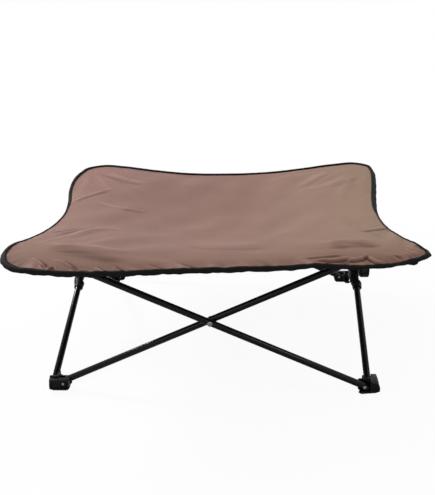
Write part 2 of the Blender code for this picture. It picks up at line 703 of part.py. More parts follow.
for k, corner in enumerate(CORNERS):
    arm = rod("arm", [(TUBE_RADIUS, FIT), (TUBE_RADIUS, ARM_LENGTH)], TUBE_SIDES)
    cut(arm, rod("bore", [(TUBE_RADIUS - TUBE_WALL, -FIT), (TUBE_RADIUS - TUBE_WALL, 2 * ARM_LENGTH)], TUBE_SIDES))
    move(arm, corner_turn(k) @ along(ARM_DIRECTION, arm_axis(0)))
    finish(arm, f"{corner}_arm", COATED_TUBE)

    bore = TUBE_RADIUS + FIT
    outer = bore + POCKET_WALL
    end = ARM_LENGTH + FIT + POCKET_WALL
    pocket = rod("pocket", [(outer, ARM_LENGTH - POCKET_LENGTH), (outer, end - POCKET_WALL), (outer * 0.8, end)], TUBE_SIDES)
    move(pocket, along(ARM_DIRECTION, arm_axis(0)))
    centre = arm_axis(ARM_LENGTH - POCKET_LENGTH * 0.5)
    low = min(
        height(centre.x + i * POCKET_PATCH / 2, centre.y + j * POCKET_PATCH / 2) for i in range(-2, 3) for j in range(-2, 3)
    )
    patch_top = low - SHEET_THICKNESS - FIT
    patch = box("patch", (-POCKET_PATCH, -POCKET_PATCH, patch_top - PATCH_THICKNESS), (POCKET_PATCH, POCKET_PATCH, patch_top))
    move(patch, Matrix.Translation((centre.x, centre.y, 0)) @ Matrix.Rotation(math.pi / 4, 4, "Z"))
    seam = box(
        "seam",
        (-POCKET_PATCH * 0.8, -TUBE_RADIUS * 0.6, centre.z + bore),
        (POCKET_PATCH * 0.8, TUBE_RADIUS * 0.6, patch_top - PATCH_THICKNESS / 2),
    )
    move(seam, Matrix.Translation((centre.x, centre.y, 0)) @ Matrix.Rotation(math.pi / 4, 4, "Z"))
    add(pocket, patch, seam)
    cut(pocket, move(rod("bore", [(bore, -end), (bore, ARM_LENGTH + FIT)], TUBE_SIDES), along(ARM_DIRECTION, arm_axis(0))))
    move(pocket, corner_turn(k))
    finish(pocket, f"{corner}_pocket", WEBBING)

print("upper pivots", round(UPPER_PIVOT, 5), "crossing", round(CROSSING, 5), "planes", round(INNER_PLANE, 5), round(OUTER_PLANE, 5))
print("bracket top", round(BRACKET_TOP, 5), "sheet over it", round(height(MIDDLE_PLANE, MIDDLE_PLANE) - SHEET_THICKNESS, 5))
print("nodes", len(bpy.data.objects))
for ob in sorted(bpy.data.objects, key=lambda o: o.name):
    ob.data.calc_loop_triangles()
    print("  ", ob.name, len(ob.data.loop_triangles))
print("triangles", sum(len(ob.data.loop_triangles) for ob in bpy.data.objects))
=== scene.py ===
"""Looks of the folding pet hammock: a bound cloth sheet over a frame of crossed black tubes."""

import logging
import math
from collections.abc import Iterable, Sequence
from dataclasses import dataclass, field
from enum import Enum

import bmesh
import bpy
import numpy as np
from mathutils import Matrix, Vector
from mathutils.geometry import delaunay_2d_cdt


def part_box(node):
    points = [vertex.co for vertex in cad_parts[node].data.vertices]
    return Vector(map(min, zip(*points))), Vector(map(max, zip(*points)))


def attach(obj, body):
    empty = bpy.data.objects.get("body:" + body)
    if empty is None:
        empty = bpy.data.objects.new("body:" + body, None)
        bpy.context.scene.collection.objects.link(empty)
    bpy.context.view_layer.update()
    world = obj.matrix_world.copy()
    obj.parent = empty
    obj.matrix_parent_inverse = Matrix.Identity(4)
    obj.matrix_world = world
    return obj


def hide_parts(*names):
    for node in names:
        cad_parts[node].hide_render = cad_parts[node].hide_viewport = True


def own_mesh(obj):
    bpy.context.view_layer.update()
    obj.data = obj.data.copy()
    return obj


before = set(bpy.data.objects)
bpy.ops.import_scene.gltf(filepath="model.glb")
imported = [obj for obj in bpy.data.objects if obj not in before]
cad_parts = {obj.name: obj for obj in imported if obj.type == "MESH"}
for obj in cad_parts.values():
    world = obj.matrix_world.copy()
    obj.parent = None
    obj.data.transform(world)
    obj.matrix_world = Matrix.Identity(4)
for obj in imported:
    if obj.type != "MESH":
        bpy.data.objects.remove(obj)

log = logging.getLogger("pet_hammock")

Profile = Sequence[tuple[float, float]]
Ring = Sequence[Vector]
Span = tuple[float, float]


class Side(Enum):
    """Sides of the bed, in the order in which a quarter turn takes one to the next."""

    FRONT = 0
    RIGHT = 1
    REAR = 2
    LEFT = 3

    @property
    def turn(self) -> Matrix:
        """Matrix that takes a piece modelled at the front to this side."""
        return Matrix.Rotation(math.pi / 2 * self.value, 4, "Z")

    @property
    def label(self) -> str:
        """Name of the side as the nodes spell it."""
        return self.name.lower()


class Corner(Enum):
    """Corners of the bed, in the order in which a quarter turn takes one to the next."""

    FRONT_LEFT = 0
    FRONT_RIGHT = 1
    REAR_RIGHT = 2
    REAR_LEFT = 3

    @property
    def turn(self) -> Matrix:
        """Matrix that takes a piece modelled at the rear right to this corner."""
        return Matrix.Rotation(math.pi + math.pi / 2 * self.value, 4, "Z")

    @property
    def label(self) -> str:
        """Name of the corner as the nodes spell it."""
        return self.name.lower()

    @property
    def leg_sides(self) -> tuple[Side, Side]:
        """Sides whose tubes end in the first and in the second leg of this corner's brackets."""
        return Side(self.value), Side((self.value + 3) % 4)


@dataclass(frozen=True)
class FrameSizes:
    """Sizes of the crossed frame, in metres."""

    half_spacing: float = 0.268
    plane_offset: float = 0.014
    open_angle: float = math.radians(24.0)
    tube_radius: float = 0.006
    tube_wall: float = 0.0012
    tube_end: float = 0.007
    layer_gap: float = 0.0006
    fit: float = 0.0003
    pivot_height: float = 0.014

    @property
    def layer(self) -> float:
        """Middle plane of a cross to the axis of either tube."""
        return self.tube_radius + self.layer_gap / 2

    @property
    def middle_plane(self) -> float:
        """Middle of the bed to the plane between the two tubes of a side."""
        return self.half_spacing + self.plane_offset

    @property
    def inner_plane(self) -> float:
        """Middle of the bed to the inner tube of a side."""
        return self.middle_plane - self.layer

    @property
    def outer_plane(self) -> float:
        """Middle of the bed to the outer tube of a side."""
        return self.middle_plane + self.layer

    @property
    def tube_span(self) -> float:
        """Pivot to pivot along a tube."""
        return 2 * self.half_spacing / math.cos(self.open_angle)

    @property
    def upper_pivot(self) -> float:
        """Height of the upper pivots."""
        return self.pivot_height + 2 * self.half_spacing * math.tan(self.open_angle)

    @property
    def crossing(self) -> float:
        """Height of the middle rivets."""
        return (self.pivot_height + self.upper_pivot) / 2


SIZES = FrameSizes()


# Mesh helpers


def loft(rings: Sequence[Ring]) -> tuple[list[Vector], list[tuple[int, ...]]]:
    """Joins sections with the same number of points into a closed body.

    Args:
        rings: The sections in order.

    Returns:
        Points and faces.
    """
    n = len(rings[0])
    last = (len(rings) - 1) * n
    faces: list[tuple[int, ...]] = [tuple(range(n)), tuple(range(last, last + n))]
    for start in range(0, last, n):
        for i in range(n):
            j = (i + 1) % n
            faces.append((start + i, start + j, start + n + j, start + n + i))
    return [Vector(p) for ring in rings for p in ring], faces


def lofts(bodies: Iterable[Sequence[Ring]]) -> tuple[list[Vector], list[tuple[int, ...]]]:
    """Points and faces of several closed bodies in one mesh."""
    verts: list[Vector] = []
    faces: list[tuple[int, ...]] = []
    for rings in bodies:
        points, sides = loft(rings)
        faces += [tuple(i + len(verts) for i in side) for side in sides]
        verts += points
    return verts, faces


def link_object(name: str, data: bpy.types.ID) -> bpy.types.Object:
    """New object in the scene for a mesh, a lamp or a camera."""
    ob = bpy.data.objects.new(name, data)
    bpy.context.scene.collection.objects.link(ob)
    return ob


def shade_smooth(mesh: bpy.types.Mesh) -> None:
    """Shades every face of a mesh smooth."""
    mesh.polygons.foreach_set("use_smooth", [True] * len(mesh.polygons))


def new_object(name: str, verts: Iterable[Vector], faces: Iterable[Sequence[int]]) -> bpy.types.Object:
    """Object with outward faces.

    Args:
        name: Name of the object and its mesh.
        verts: Points.
        faces: Point numbers of each face.

    Returns:
        The new object.
    """
    bm = bmesh.new()
    made = [bm.verts.new(v) for v in verts]
    for face in faces:
        bm.faces.new([made[i] for i in face])
    bmesh.ops.recalc_face_normals(bm, faces=bm.faces)
    mesh = bpy.data.meshes.new(name)
    bm.to_mesh(mesh)
    bm.free()
    return link_object(name, mesh)


def turned_body(name: str, profile: Profile, sides: int = 32) -> bpy.types.Object:
    """Body turned about Z.

    Args:
        name: Name of the object.
        profile: (radius, z) pairs from one end to the other.
        sides: Points round the body.

    Returns:
        The new object.
    """
    turns = [math.tau * i / sides for i in range(sides)]
    rings = [[Vector((r * math.cos(a), r * math.sin(a), z)) for a in turns] for r, z in profile]
    return new_object(name, *loft(rings))


def rod(name: str, radius: float, low: float, high: float, sides: int = 32) -> bpy.types.Object:
    """Plain round body about Z between two heights."""
    return turned_body(name, [(radius, low), (radius, high)], sides)


def prism(name: str, outline: Profile, low: float, high: float) -> bpy.types.Object:
    """Upright body with one outline between two heights."""
    return new_object(name, *loft([[Vector((x, y, z)) for x, y in outline] for z in (low, high)]))


def box(name: str, low: Sequence[float], high: Sequence[float]) -> bpy.types.Object:
    """Plain block between two corners, used to cut or to join."""
    ring = ((low[0], low[1]), (high[0], low[1]), (high[0], high[1]), (low[0], high[1]))
    return prism(name, ring, low[2], high[2])


def placed(ob: bpy.types.Object, matrix: Matrix) -> bpy.types.Object:
    """Moves an object's mesh by a matrix."""
    ob.data.transform(matrix)
    ob.data.update()
    return ob


def apply_modifiers(ob: bpy.types.Object) -> None:
    """Replaces an object's mesh by what its modifiers make of it."""
    bpy.context.view_layer.update()
    graph = bpy.context.evaluated_depsgraph_get()
    mesh = bpy.data.meshes.new_from_object(ob.evaluated_get(graph))
    old = ob.data
    ob.modifiers.clear()
    ob.data = mesh
    if old.users == 0:
        bpy.data.meshes.remove(old)


def combine(target: bpy.types.Object, tools: Iterable[bpy.types.Object], operation: str) -> bpy.types.Object:
    """Cuts or joins closed bodies one after the other and removes them.

    Args:
        target: Body that stays.
        tools: Bodies that are used up.
        operation: DIFFERENCE or UNION.

    Returns:
        The target.
    """
    for tool in tools:
        mod = target.modifiers.new("combine", "BOOLEAN")
        mod.operation = operation
        mod.solver = "EXACT"
        mod.object = tool
        apply_modifiers(target)
        bpy.data.objects.remove(tool, do_unlink=True)
    return target


def along(direction: Sequence[float], point: Sequence[float]) -> Matrix:
    """Matrix that lays a body modelled along +Z along a direction from a point."""
    return Matrix.Translation(point) @ Vector(direction).to_track_quat("Z", "Y").to_matrix().to_4x4()


# Metres within which two points are one, radians within which faces are joined into one,
# and degrees above the angle of a rounded edge at which an edge is shaded sharp
WELD_DISTANCE = 0.000004
FLAT_ANGLE = 0.01
SHARP_MARGIN = 8.0


def soften(ob: bpy.types.Object, width: float = 0.0, angle: float = 32.0) -> bpy.types.Object:
    """Rounds a hard body's edges and shades it smooth.

    Args:
        ob: Body to round.
        width: Width of the rounding, in metres, or 0 for smooth shading alone.
        angle: Smallest angle of an edge that is rounded, in degrees.

    Returns:
        The object.
    """
    bm = bmesh.new()
    bm.from_mesh(ob.data)
    bmesh.ops.remove_doubles(bm, verts=bm.verts, dist=WELD_DISTANCE)
    bmesh.ops.dissolve_limit(bm, angle_limit=FLAT_ANGLE, verts=bm.verts, edges=bm.edges)
    bm.to_mesh(ob.data)
    bm.free()
    if width > 0:
        mod = ob.modifiers.new("round", "BEVEL")
        mod.width = width
        mod.segments = 2
        mod.limit_method = "ANGLE"
        mod.angle_limit = math.radians(angle)
        mod.use_clamp_overlap = True
        mod.miter_outer = "MITER_ARC"
        apply_modifiers(ob)
    shade_smooth(ob.data)
    ob.data.set_sharp_from_angle(angle=math.radians(angle + SHARP_MARGIN))
    ob.data.update()
    return ob


def copy_of(ob: bpy.types.Object, name: str, matrix: Matrix) -> bpy.types.Object:
    """Copy of an object with its own mesh, moved by a matrix."""
    made = link_object(name, ob.data.copy())
    made.data.name = name
    return placed(made, matrix)


def discard(*blanks: bpy.types.Object) -> None:
    """Removes objects that were only copied."""
    for blank in blanks:
        bpy.data.objects.remove(blank, do_unlink=True)


def dress(
    ob: bpy.types.Object, mat: bpy.types.Material, body: str, slot: str, *nodes: str
) -> bpy.types.Object:
    """Gives a finished piece its material and body, and hides the nodes that it stands for.

    Args:
        ob: Finished piece.
        mat: Its material.
        body: Body that it moves with.
        slot: Slot that its finish belongs to; not used.
        *nodes: Nodes that it replaces.

    Returns:
        The piece.
    """
    ob.data.materials.clear()
    ob.data.materials.append(mat)
    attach(ob, body)
    if nodes:
        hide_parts(*nodes)
    log.info("%s rides on %s: %d faces", ob.name, body, len(ob.data.polygons))
    return ob


def smooth(t: np.ndarray | float, start: float = 0.0, width: float = 1.0) -> np.ndarray:
    """0 to 1 with a soft start and end, from a start over a width."""
    t = np.clip((t - start) / width, 0.0, 1.0)
    return t * t * (3 - 2 * t)


def ramp(value: float, start: float, width: float) -> float:
    """The same for one number."""
    return float(smooth(value, start, width))


def blend(first: float, second: float, share: float) -> float:
    """First value at a share of 0, second at 1."""
    return first + (second - first) * share


# Shader nodes


Colour = tuple[float, float, float]
Socket = bpy.types.NodeSocket


class Shading:
    """A node tree under construction, with short calls to add and join its nodes."""

    def __init__(self, tree: bpy.types.NodeTree) -> None:
        """Takes the tree of a material, a world or a group."""
        self.tree = tree

    def join(self, value: object, end: Socket) -> None:
        """Joins a socket to an input, or gives the input a value."""
        if isinstance(value, bpy.types.NodeSocket):
            self.tree.links.new(value, end)
        else:
            end.default_value = value

    def node(self, kind: str, inputs: dict | None = None, **settings: object) -> bpy.types.Node:
        """Adds a node, sets it and joins its inputs.

        Args:
            kind: Type of the node without its ShaderNode prefix.
            inputs: Socket names or numbers with a value or a socket to join.
            **settings: Properties of the node.

        Returns:
            The node.
        """
        node = self.tree.nodes.new("ShaderNode" + kind)
        for key, value in settings.items():
            setattr(node, key, value)
        for key, value in (inputs or {}).items():
            self.join(value, node.inputs[key])
        return node

    def shared(self, group: bpy.types.NodeTree, **inputs: object) -> bpy.types.Node:
        """Puts a shared group into the tree with its own values."""
        return self.node("Group", inputs, node_tree=group)

    def place(self) -> Socket:
        """Coordinates in metres that stay with the piece."""
        return self.node("TexCoord").outputs["Object"]

    def calc(self, operation: str, *values: object, clamp: bool = False) -> Socket:
        """Result of a sum with one or two values or sockets."""
        return self.node("Math", dict(enumerate(values)), operation=operation, use_clamp=clamp).outputs[0]

    def spread(
        self, value: object, start: object, stop: object, low: float = 0.0, high: float = 1.0
    ) -> Socket:
        """Value spread from the range start to stop over the range low to high, and kept inside it."""
        limits = {"From Min": start, "From Max": stop, "To Min": low, "To Max": high}
        return self.node("MapRange", {"Value": value, **limits}).outputs[0]

    def noise(self, place: Socket, scale: object, detail: float, roughness: float = 0.5) -> Socket:
        """Noise from 0 to 1."""
        inputs = {"Vector": place, "Scale": scale, "Detail": detail, "Roughness": roughness}
        return self.node("TexNoise", inputs).outputs["Fac"]

    def mix(self, factor: object, first: object, second: object) -> Socket:
        """Mixes two colours, each a value or a socket."""
        return self.node("Mix", {0: factor, 6: first, 7: second}, data_type="RGBA").outputs[2]


class ShaderGroup(Shading):
    """A shared node group under construction, whose inputs and outputs are numbers."""

    def __init__(self, name: str, inputs: dict[str, float], outputs: Sequence[str]) -> None:
        """Starts a group.

        Args:
            name: Its name.
            inputs: Input names with their defaults.
            outputs: Output names.
        """
        super().__init__(bpy.data.node_groups.new(name, "ShaderNodeTree"))
        number = "NodeSocketFloat"
        for key, default in inputs.items():
            socket = self.tree.interface.new_socket(key, in_out="INPUT", socket_type=number)
            socket.default_value = default
        for key in outputs:
            self.tree.interface.new_socket(key, in_out="OUTPUT", socket_type=number)
        self.source = self.tree.nodes.new("NodeGroupInput")
        self.sink = self.tree.nodes.new("NodeGroupOutput")

    def take(self, name: str) -> Socket:
        """One of the group's inputs, to be used inside it."""
        return self.source.outputs[name]

    def give(self, **values: Socket) -> bpy.types.NodeTree:
        """Joins sockets to the group's outputs and gives the finished group."""
        for name, socket in values.items():
            self.join(socket, self.sink.inputs[name])
        return self.tree


def grain_group() -> bpy.types.NodeTree:
    """Fine uneven surface of moulded plastic, coating and metal.

    Returns:
        A group with a Scale and a Contrast, which gives a Height and a slowly changing Tone, both 0 to 1.
    """
    group = ShaderGroup("surface_grain", {"Scale": 900.0, "Contrast": 1.0}, ("Height", "Tone"))
    place, scale = group.place(), group.take("Scale")
    fine = group.noise(place, scale, 3.0, 0.6)
    broad = group.noise(place, group.calc("MULTIPLY", scale, 0.03), 4.0)
    scaled = group.calc("MULTIPLY", group.calc("SUBTRACT", fine, 0.5), group.take("Contrast"))
    return group.give(Height=group.calc("ADD", scaled, 0.5), Tone=broad)


def edge_wear_group() -> bpy.types.NodeTree:
    """Rubbed edges: brighter where the surface turns sharply outwards, broken up by noise.

    Returns:
        A group with a Reach and an Amount, which gives a Mask from 0 to 1.
    """
    group = ShaderGroup("edge_wear", {"Reach": 0.06, "Amount": 0.5}, ("Mask",))
    point = group.node("NewGeometry").outputs["Pointiness"]
    sharp = group.spread(point, 0.505, group.calc("ADD", 0.5, group.take("Reach")))
    broken = group.spread(group.noise(group.place(), 240.0, 5.0), 0.42, 0.62)
    both = group.calc("MULTIPLY", sharp, broken)
    return group.give(Mask=group.calc("MULTIPLY", both, group.take("Amount"), clamp=True))


def dust_group() -> bpy.types.NodeTree:
    """Thin settled dust on faces that look up.

    Returns:
        A group with an Amount, which gives a Mask from 0 to 1.
    """
    group = ShaderGroup("settled_dust", {"Amount": 0.3}, ("Mask",))
    normal = group.node("NewGeometry").outputs["Normal"]
    facing = group.spread(group.node("SeparateXYZ", {0: normal}).outputs["Z"], 0.2, 1.0)
    patch = group.spread(group.noise(group.place(), 60.0, 6.0), 0.35, 0.7)
    both = group.calc("MULTIPLY", facing, patch)
    return group.give(Mask=group.calc("MULTIPLY", both, group.take("Amount"), clamp=True))


def weave_group() -> bpy.types.NodeTree:
    """Plain weave of warp and weft threads seen from above.

    Returns:
        A group with the Pitch of the threads in metres, which gives a Height and the Shade between threads.
    """
    group = ShaderGroup("plain_weave", {"Pitch": 0.0009}, ("Height", "Shade"))
    place = group.place()
    axes = group.node("SeparateXYZ", {0: place}).outputs
    rate = group.calc("DIVIDE", math.pi, group.take("Pitch"))
    drift = group.calc("MULTIPLY", group.noise(place, 150.0, 2.0), 0.0006)
    waves = []
    for axis in ("X", "Y"):
        angle = group.calc("MULTIPLY", group.calc("ADD", axes[axis], drift), rate)
        waves.append(group.calc("SINE", angle))
    over = group.calc("MULTIPLY", *waves)
    height = group.calc("POWER", group.calc("ABSOLUTE", over), 0.5)
    return group.give(Height=height, Shade=group.spread(over, -1.0, 1.0))


@dataclass(frozen=True)
class Groups:
    """The shared shader groups."""

    grain: bpy.types.NodeTree = field(default_factory=grain_group)
    wear: bpy.types.NodeTree = field(default_factory=edge_wear_group)
    dust: bpy.types.NodeTree = field(default_factory=dust_group)
    weave: bpy.types.NodeTree = field(default_factory=weave_group)


def tinted(colour: Colour, factor: float = 1.0) -> tuple[float, ...]:
    """Colour made darker or lighter by a factor, with full alpha."""
    return (*(c * factor for c in colour), 1.0)


class Surface(Shading):
    """Nodes of a new material."""

    def __init__(self, name: str) -> None:
        """Starts a material of this name."""
        self.material = bpy.data.materials.new(name)
        self.material.use_nodes = True
        super().__init__(self.material.node_tree)
        self.shader = self.tree.nodes["Principled BSDF"]

    def finish(self, height: Socket, distance: float, inputs: dict[str, object]) -> bpy.types.Material:
        """Gives the surface its relief and its other values.

        Args:
            height: Height of the relief, 0 to 1.
            distance: How deep the relief is, in metres.
            inputs: The shader's other inputs with their values or sockets.

        Returns:
            The material.
        """
        relief = self.node("Bump", {"Height": height, "Distance": distance})
        for key, value in {**inputs, "Normal": relief.outputs[0]}.items():
            self.join(value, self.shader.inputs[key])
        return self.material


@dataclass(frozen=True)
class HardFinish:
    """Finish of the moulded, coated and metal pieces."""

    name: str
    colour: Colour
    worn: Colour
    roughness: float
    metallic: float = 0.0
    grain_scale: float = 900.0
    grain_height: float = 0.00003
    grain_contrast: float = 1.2
    wear: float = 0.35
    wear_reach: float = 0.08
    dust: float = 0.12
    specular: float = 0.5
    dust_colour: Colour = (0.16, 0.15, 0.14)
    tones: tuple[float, float] = (0.75, 1.3)
    gloss_range: tuple[float, float] = (0.07, 0.09)

    def build(self, groups: Groups) -> bpy.types.Material:
        """Makes the material.

        Args:
            groups: Shared shader groups.

        Returns:
            The material.
        """
        nodes = Surface(self.name)
        grain = nodes.shared(groups.grain, Scale=self.grain_scale, Contrast=self.grain_contrast).outputs
        wear = nodes.shared(groups.wear, Reach=self.wear_reach, Amount=self.wear).outputs["Mask"]
        dust = nodes.shared(groups.dust, Amount=self.dust).outputs["Mask"]
        base = nodes.mix(grain["Tone"], *(tinted(self.colour, tone) for tone in self.tones))
        base = nodes.mix(wear, base, tinted(self.worn))
        smoother, rougher = self.gloss_range
        values = {
            "Base Color": nodes.mix(dust, base, tinted(self.dust_colour)),
            "Metallic": self.metallic,
            "Roughness": nodes.spread(
                grain["Tone"], 0.0, 1.0, self.roughness - smoother, self.roughness + rougher
            ),
            "Specular IOR Level": self.specular,
        }
        return nodes.finish(grain["Height"], self.grain_height, values)


@dataclass(frozen=True)
class ClothFinish:
    """Woven cloth of the sheet, whose colour changes a little over it, with painted shade in its fold hollows
    and towards the front edge and a painted highlight on its fold ridges.
    """

    name: str = "mocha_cloth"
    colour: Colour = (0.325, 0.192, 0.157)
    pink: Colour = (0.278, 0.153, 0.132)
    taupe: Colour = (0.36, 0.238, 0.172)
    # Painted shade: the cloth darkens towards the front edge
    brown: Colour = (0.262, 0.146, 0.108)
    # Painted shade: colour of the cloth in the hollows of folds
    deep: Colour = (0.085, 0.036, 0.024)
    # Painted highlight: colour of the cloth on the ridges of folds
    rubbed: Colour = (0.46, 0.30, 0.25)
    thread: float = 0.0011
    roughness: float = 0.8
    specular: float = 0.15
    sheen: float = 0.03
    relief: float = 0.00018

    def build(self, groups: Groups) -> bpy.types.Material:
        """Makes the material.

        Args:
            groups: Shared shader groups.

        Returns:
            The material.
        """
        nodes = Surface(self.name)
        place = nodes.place()
        axes = nodes.node("SeparateXYZ", {0: place}).outputs
        # Painted shade and highlight: the fold shading attribute darkens the cloth in fold hollows and
        # lightens it on fold ridges
        fold = nodes.node("Attribute", attribute_name="fold_tone").outputs["Fac"]
        rear_left = nodes.calc(
            "MULTIPLY", nodes.spread(axes["Y"], -0.1, 0.35), nodes.spread(axes["X"], 0.2, -0.3)
        )
        base: object = tinted(self.colour)
        for share, colour in (
            (rear_left, self.pink),
            (nodes.spread(axes["X"], 0.05, 0.3), self.taupe),
            # Painted shade towards the front edge
            (nodes.spread(axes["Y"], -0.25, -0.345), self.brown),
            # Painted shade in fold hollows
            (nodes.spread(fold, -0.05, -1.0, 0.0, 0.95), self.deep),
            # Painted highlight on fold ridges
            (nodes.spread(fold, 0.05, 1.0, 0.0, 0.75), self.rubbed),
        ):
            base = nodes.mix(share, base, tinted(colour))
        weave = nodes.shared(groups.weave, Pitch=self.thread).outputs
        slub = nodes.noise(place, 420.0, 2.0)
        tone = nodes.spread(weave["Shade"], 0.0, 1.0, 0.93, 1.06)
        faded = nodes.spread(nodes.noise(place, 14.0, 5.0, 0.6), 0.3, 0.7, 0.95, 1.04)
        for uneven in (faded, nodes.spread(slub, 0.3, 0.7, 0.95, 1.05)):
            tone = nodes.calc("MULTIPLY", tone, uneven)
        scaled = nodes.node("VectorMath", {0: base, "Scale": tone}, operation="SCALE")
        values = {
            "Base Color": scaled.outputs["Vector"],
            "Roughness": self.roughness,
            "Sheen Weight": self.sheen,
            "Sheen Roughness": 0.5,
            "Specular IOR Level": self.specular,
        }
        return nodes.finish(nodes.calc("ADD", weave["Height"], slub), self.relief, values)


@dataclass(frozen=True)
class TapeFinish:
    """Ribbed black tape of the binding and the corner pockets."""

    name: str = "black_binding_tape"
    colour: Colour = (0.005, 0.0046, 0.0046)
    thread: float = 0.0007
    roughness: float = 0.7
    specular: float = 0.07
    relief: float = 0.0002
    grain_scale: float = 700.0

    def build(self, groups: Groups) -> bpy.types.Material:
        """Makes the material.

        Args:
            groups: Shared shader groups.

        Returns:
            The material.
        """
        nodes = Surface(self.name)
        weave = nodes.shared(groups.weave, Pitch=self.thread).outputs
        grain = nodes.shared(groups.grain, Scale=self.grain_scale, Contrast=1.0).outputs
        base = nodes.mix(grain["Tone"], tinted(self.colour), tinted(self.colour, 2.2))
        values = {
            "Base Color": nodes.mix(weave["Shade"], base, tinted(self.colour, 1.8)),
            "Roughness": self.roughness,
            "Specular IOR Level": self.specular,
        }
        return nodes.finish(weave["Height"], self.relief, values)


NYLON = HardFinish(
    "black_moulded_nylon",
    colour=(0.0045, 0.0045, 0.005),
    worn=(0.03, 0.03, 0.03),
    roughness=0.33,
    grain_height=0.00005,
    specular=0.1,
    dust=0.03,
)
COATED_TUBE = HardFinish(
    "black_coated_tube",
    colour=(0.004, 0.004, 0.0045),
    worn=(0.05, 0.05, 0.05),
    roughness=0.15,
    grain_scale=1400.0,
    grain_height=0.0000015,
    wear=0.03,
    specular=0.14,
    dust=0.02,
)
RIVET_STEEL = HardFinish(
    "zinc_rivet_steel",
    colour=(0.20, 0.20, 0.205),
    worn=(0.42, 0.42, 0.42),
    roughness=0.4,
    metallic=1.0,
    wear=0.6,
    dust=0.04,
)
SEWING_THREAD = TapeFinish("black_sewing_thread", (0.022, 0.021, 0.021), thread=0.0004, roughness=0.5)


class Finishes:
    """Every material of the bed."""

    def __init__(self) -> None:
        """Makes the shared groups and all materials."""
        groups = Groups()
        self.nylon = NYLON.build(groups)
        self.tube = COATED_TUBE.build(groups)
        self.steel = RIVET_STEEL.build(groups)
        self.cloth = ClothFinish().build(groups)
        self.tape = TapeFinish().build(groups)
        self.thread = SEWING_THREAD.build(groups)


# Frame


# Turns a body along Z until it lies along Y
ACROSS = Matrix.Rotation(math.pi / 2, 4, "X")


@dataclass
class CrossedTubes:
    """The eight tubes, two on each side, with holes for their pins and rivets."""

    finishes: Finishes
    sizes: FrameSizes = SIZES
    sides: int = 40
    hole_sides: int = 20
    pin_radius: float = 0.0023
    rivet_radius: float = 0.0024
    end_round: float = 0.0007

    def blank(self) -> bpy.types.Object:
        """A tube along +Z with its lower pivot at the origin, its ends rolled in a little."""
        s = self.sizes
        low, high = -s.tube_end, s.tube_span + s.tube_end
        r, e = s.tube_radius, self.end_round
        ends = [(r - e, 0.0), (r - 0.29 * e, 0.29 * e), (r, e)]
        profile = [(rad, low + dz) for rad, dz in ends] + [(rad, high - dz) for rad, dz in reversed(ends)]
        ob = turned_body("tube_blank", profile, self.sides)
        cutters = [rod("bore", r - s.tube_wall, low - 0.01, high + 0.01, self.sides)]
        holes = ((0.0, self.pin_radius), (0.5, self.rivet_radius), (1.0, self.pin_radius))
        for share, radius in holes:
            drill = rod("drill", radius + s.fit, -2 * r, 2 * r, self.hole_sides)
            cutters.append(placed(drill, Matrix.Translation((0, 0, share * s.tube_span)) @ ACROSS))
        combine(ob, cutters, "DIFFERENCE")
        return soften(ob, angle=30)

    def place(self, rising_right: bool, plane: float) -> Matrix:
        """Matrix that stands the blank in the front side.

        Args:
            rising_right: Whether it rises to the right.
            plane: Middle of the bed to its axis.

        Returns:
            The matrix.
        """
        s = self.sizes
        sign = 1.0 if rising_right else -1.0
        start = Vector((-sign * s.half_spacing, -plane, s.pivot_height))
        return Matrix.Translation(start) @ Matrix.Rotation(sign * (math.pi / 2 - s.open_angle), 4, "Y")

    def build(self) -> None:
        """Makes and dresses the eight tubes."""
        blank = self.blank()
        planes = (("a", True, self.sizes.inner_plane), ("b", False, self.sizes.outer_plane))
        for side in Side:
            for letter, right, plane in planes:
                node = f"{side.label}_tube_{letter}"
                tube = copy_of(blank, f"coated_{node}", side.turn @ self.place(right, plane))
                dress(tube, self.finishes.tube, node, "coated_tube", node)
        discard(blank)


@dataclass
class MiddleRivets:
    """Rivets where the two tubes of a side cross."""

    finishes: Finishes
    sizes: FrameSizes = SIZES
    shank: float = 0.0024
    head: float = 0.0048
    rise: float = 0.002
    outer_reach: float = 0.0158
    inner_reach: float = 0.0112
    sides: int = 32
    dome: Profile = (
        *((0.96, 0.0), (1.0, 0.15), (0.97, 0.38), (0.86, 0.64)),
        *((0.66, 0.86), (0.42, 0.98), (0.26, 0.98), (0.16, 0.72)),
    )

    def profile(self, inner_grip: float, outer_grip: float) -> list[tuple[float, float]]:
        """Profile of a rivet with a domed head and a punched dimple at both ends.

        Args:
            inner_grip: Middle plane to the face under the inner head.
            outer_grip: Middle plane to the face under the outer head.

        Returns:
            (radius, z) pairs from the inner to the outer end.
        """
        low, high = -inner_grip - self.sizes.fit, outer_grip + self.sizes.fit
        points = [(self.head * r, low - self.rise * z) for r, z in reversed(self.dome)]
        points += [(self.shank, low), (self.shank, high)]
        return points + [(self.head * r, high + self.rise * z) for r, z in self.dome]

    def build(self) -> None:
        """Makes and dresses the four rivets, each on the tube that carries it."""
        s = self.sizes
        for side, letter in zip(Side, "aabb"):
            plain = side in (Side.FRONT, Side.REAR)
            inner = s.layer + (s.tube_radius if plain else self.inner_reach)
            outer = s.layer + (s.tube_radius if plain else self.outer_reach)
            ob = turned_body(f"steel_{side.label}_middle_rivet", self.profile(inner, outer), self.sides)
            placed(ob, ACROSS)
            placed(ob, side.turn @ Matrix.Translation((0, -s.middle_plane, s.crossing)))
            soften(ob, angle=45)
            body = f"{side.label}_tube_{letter}"
            dress(ob, self.finishes.steel, body, "rivet_steel", f"{side.label}_middle_rivet")


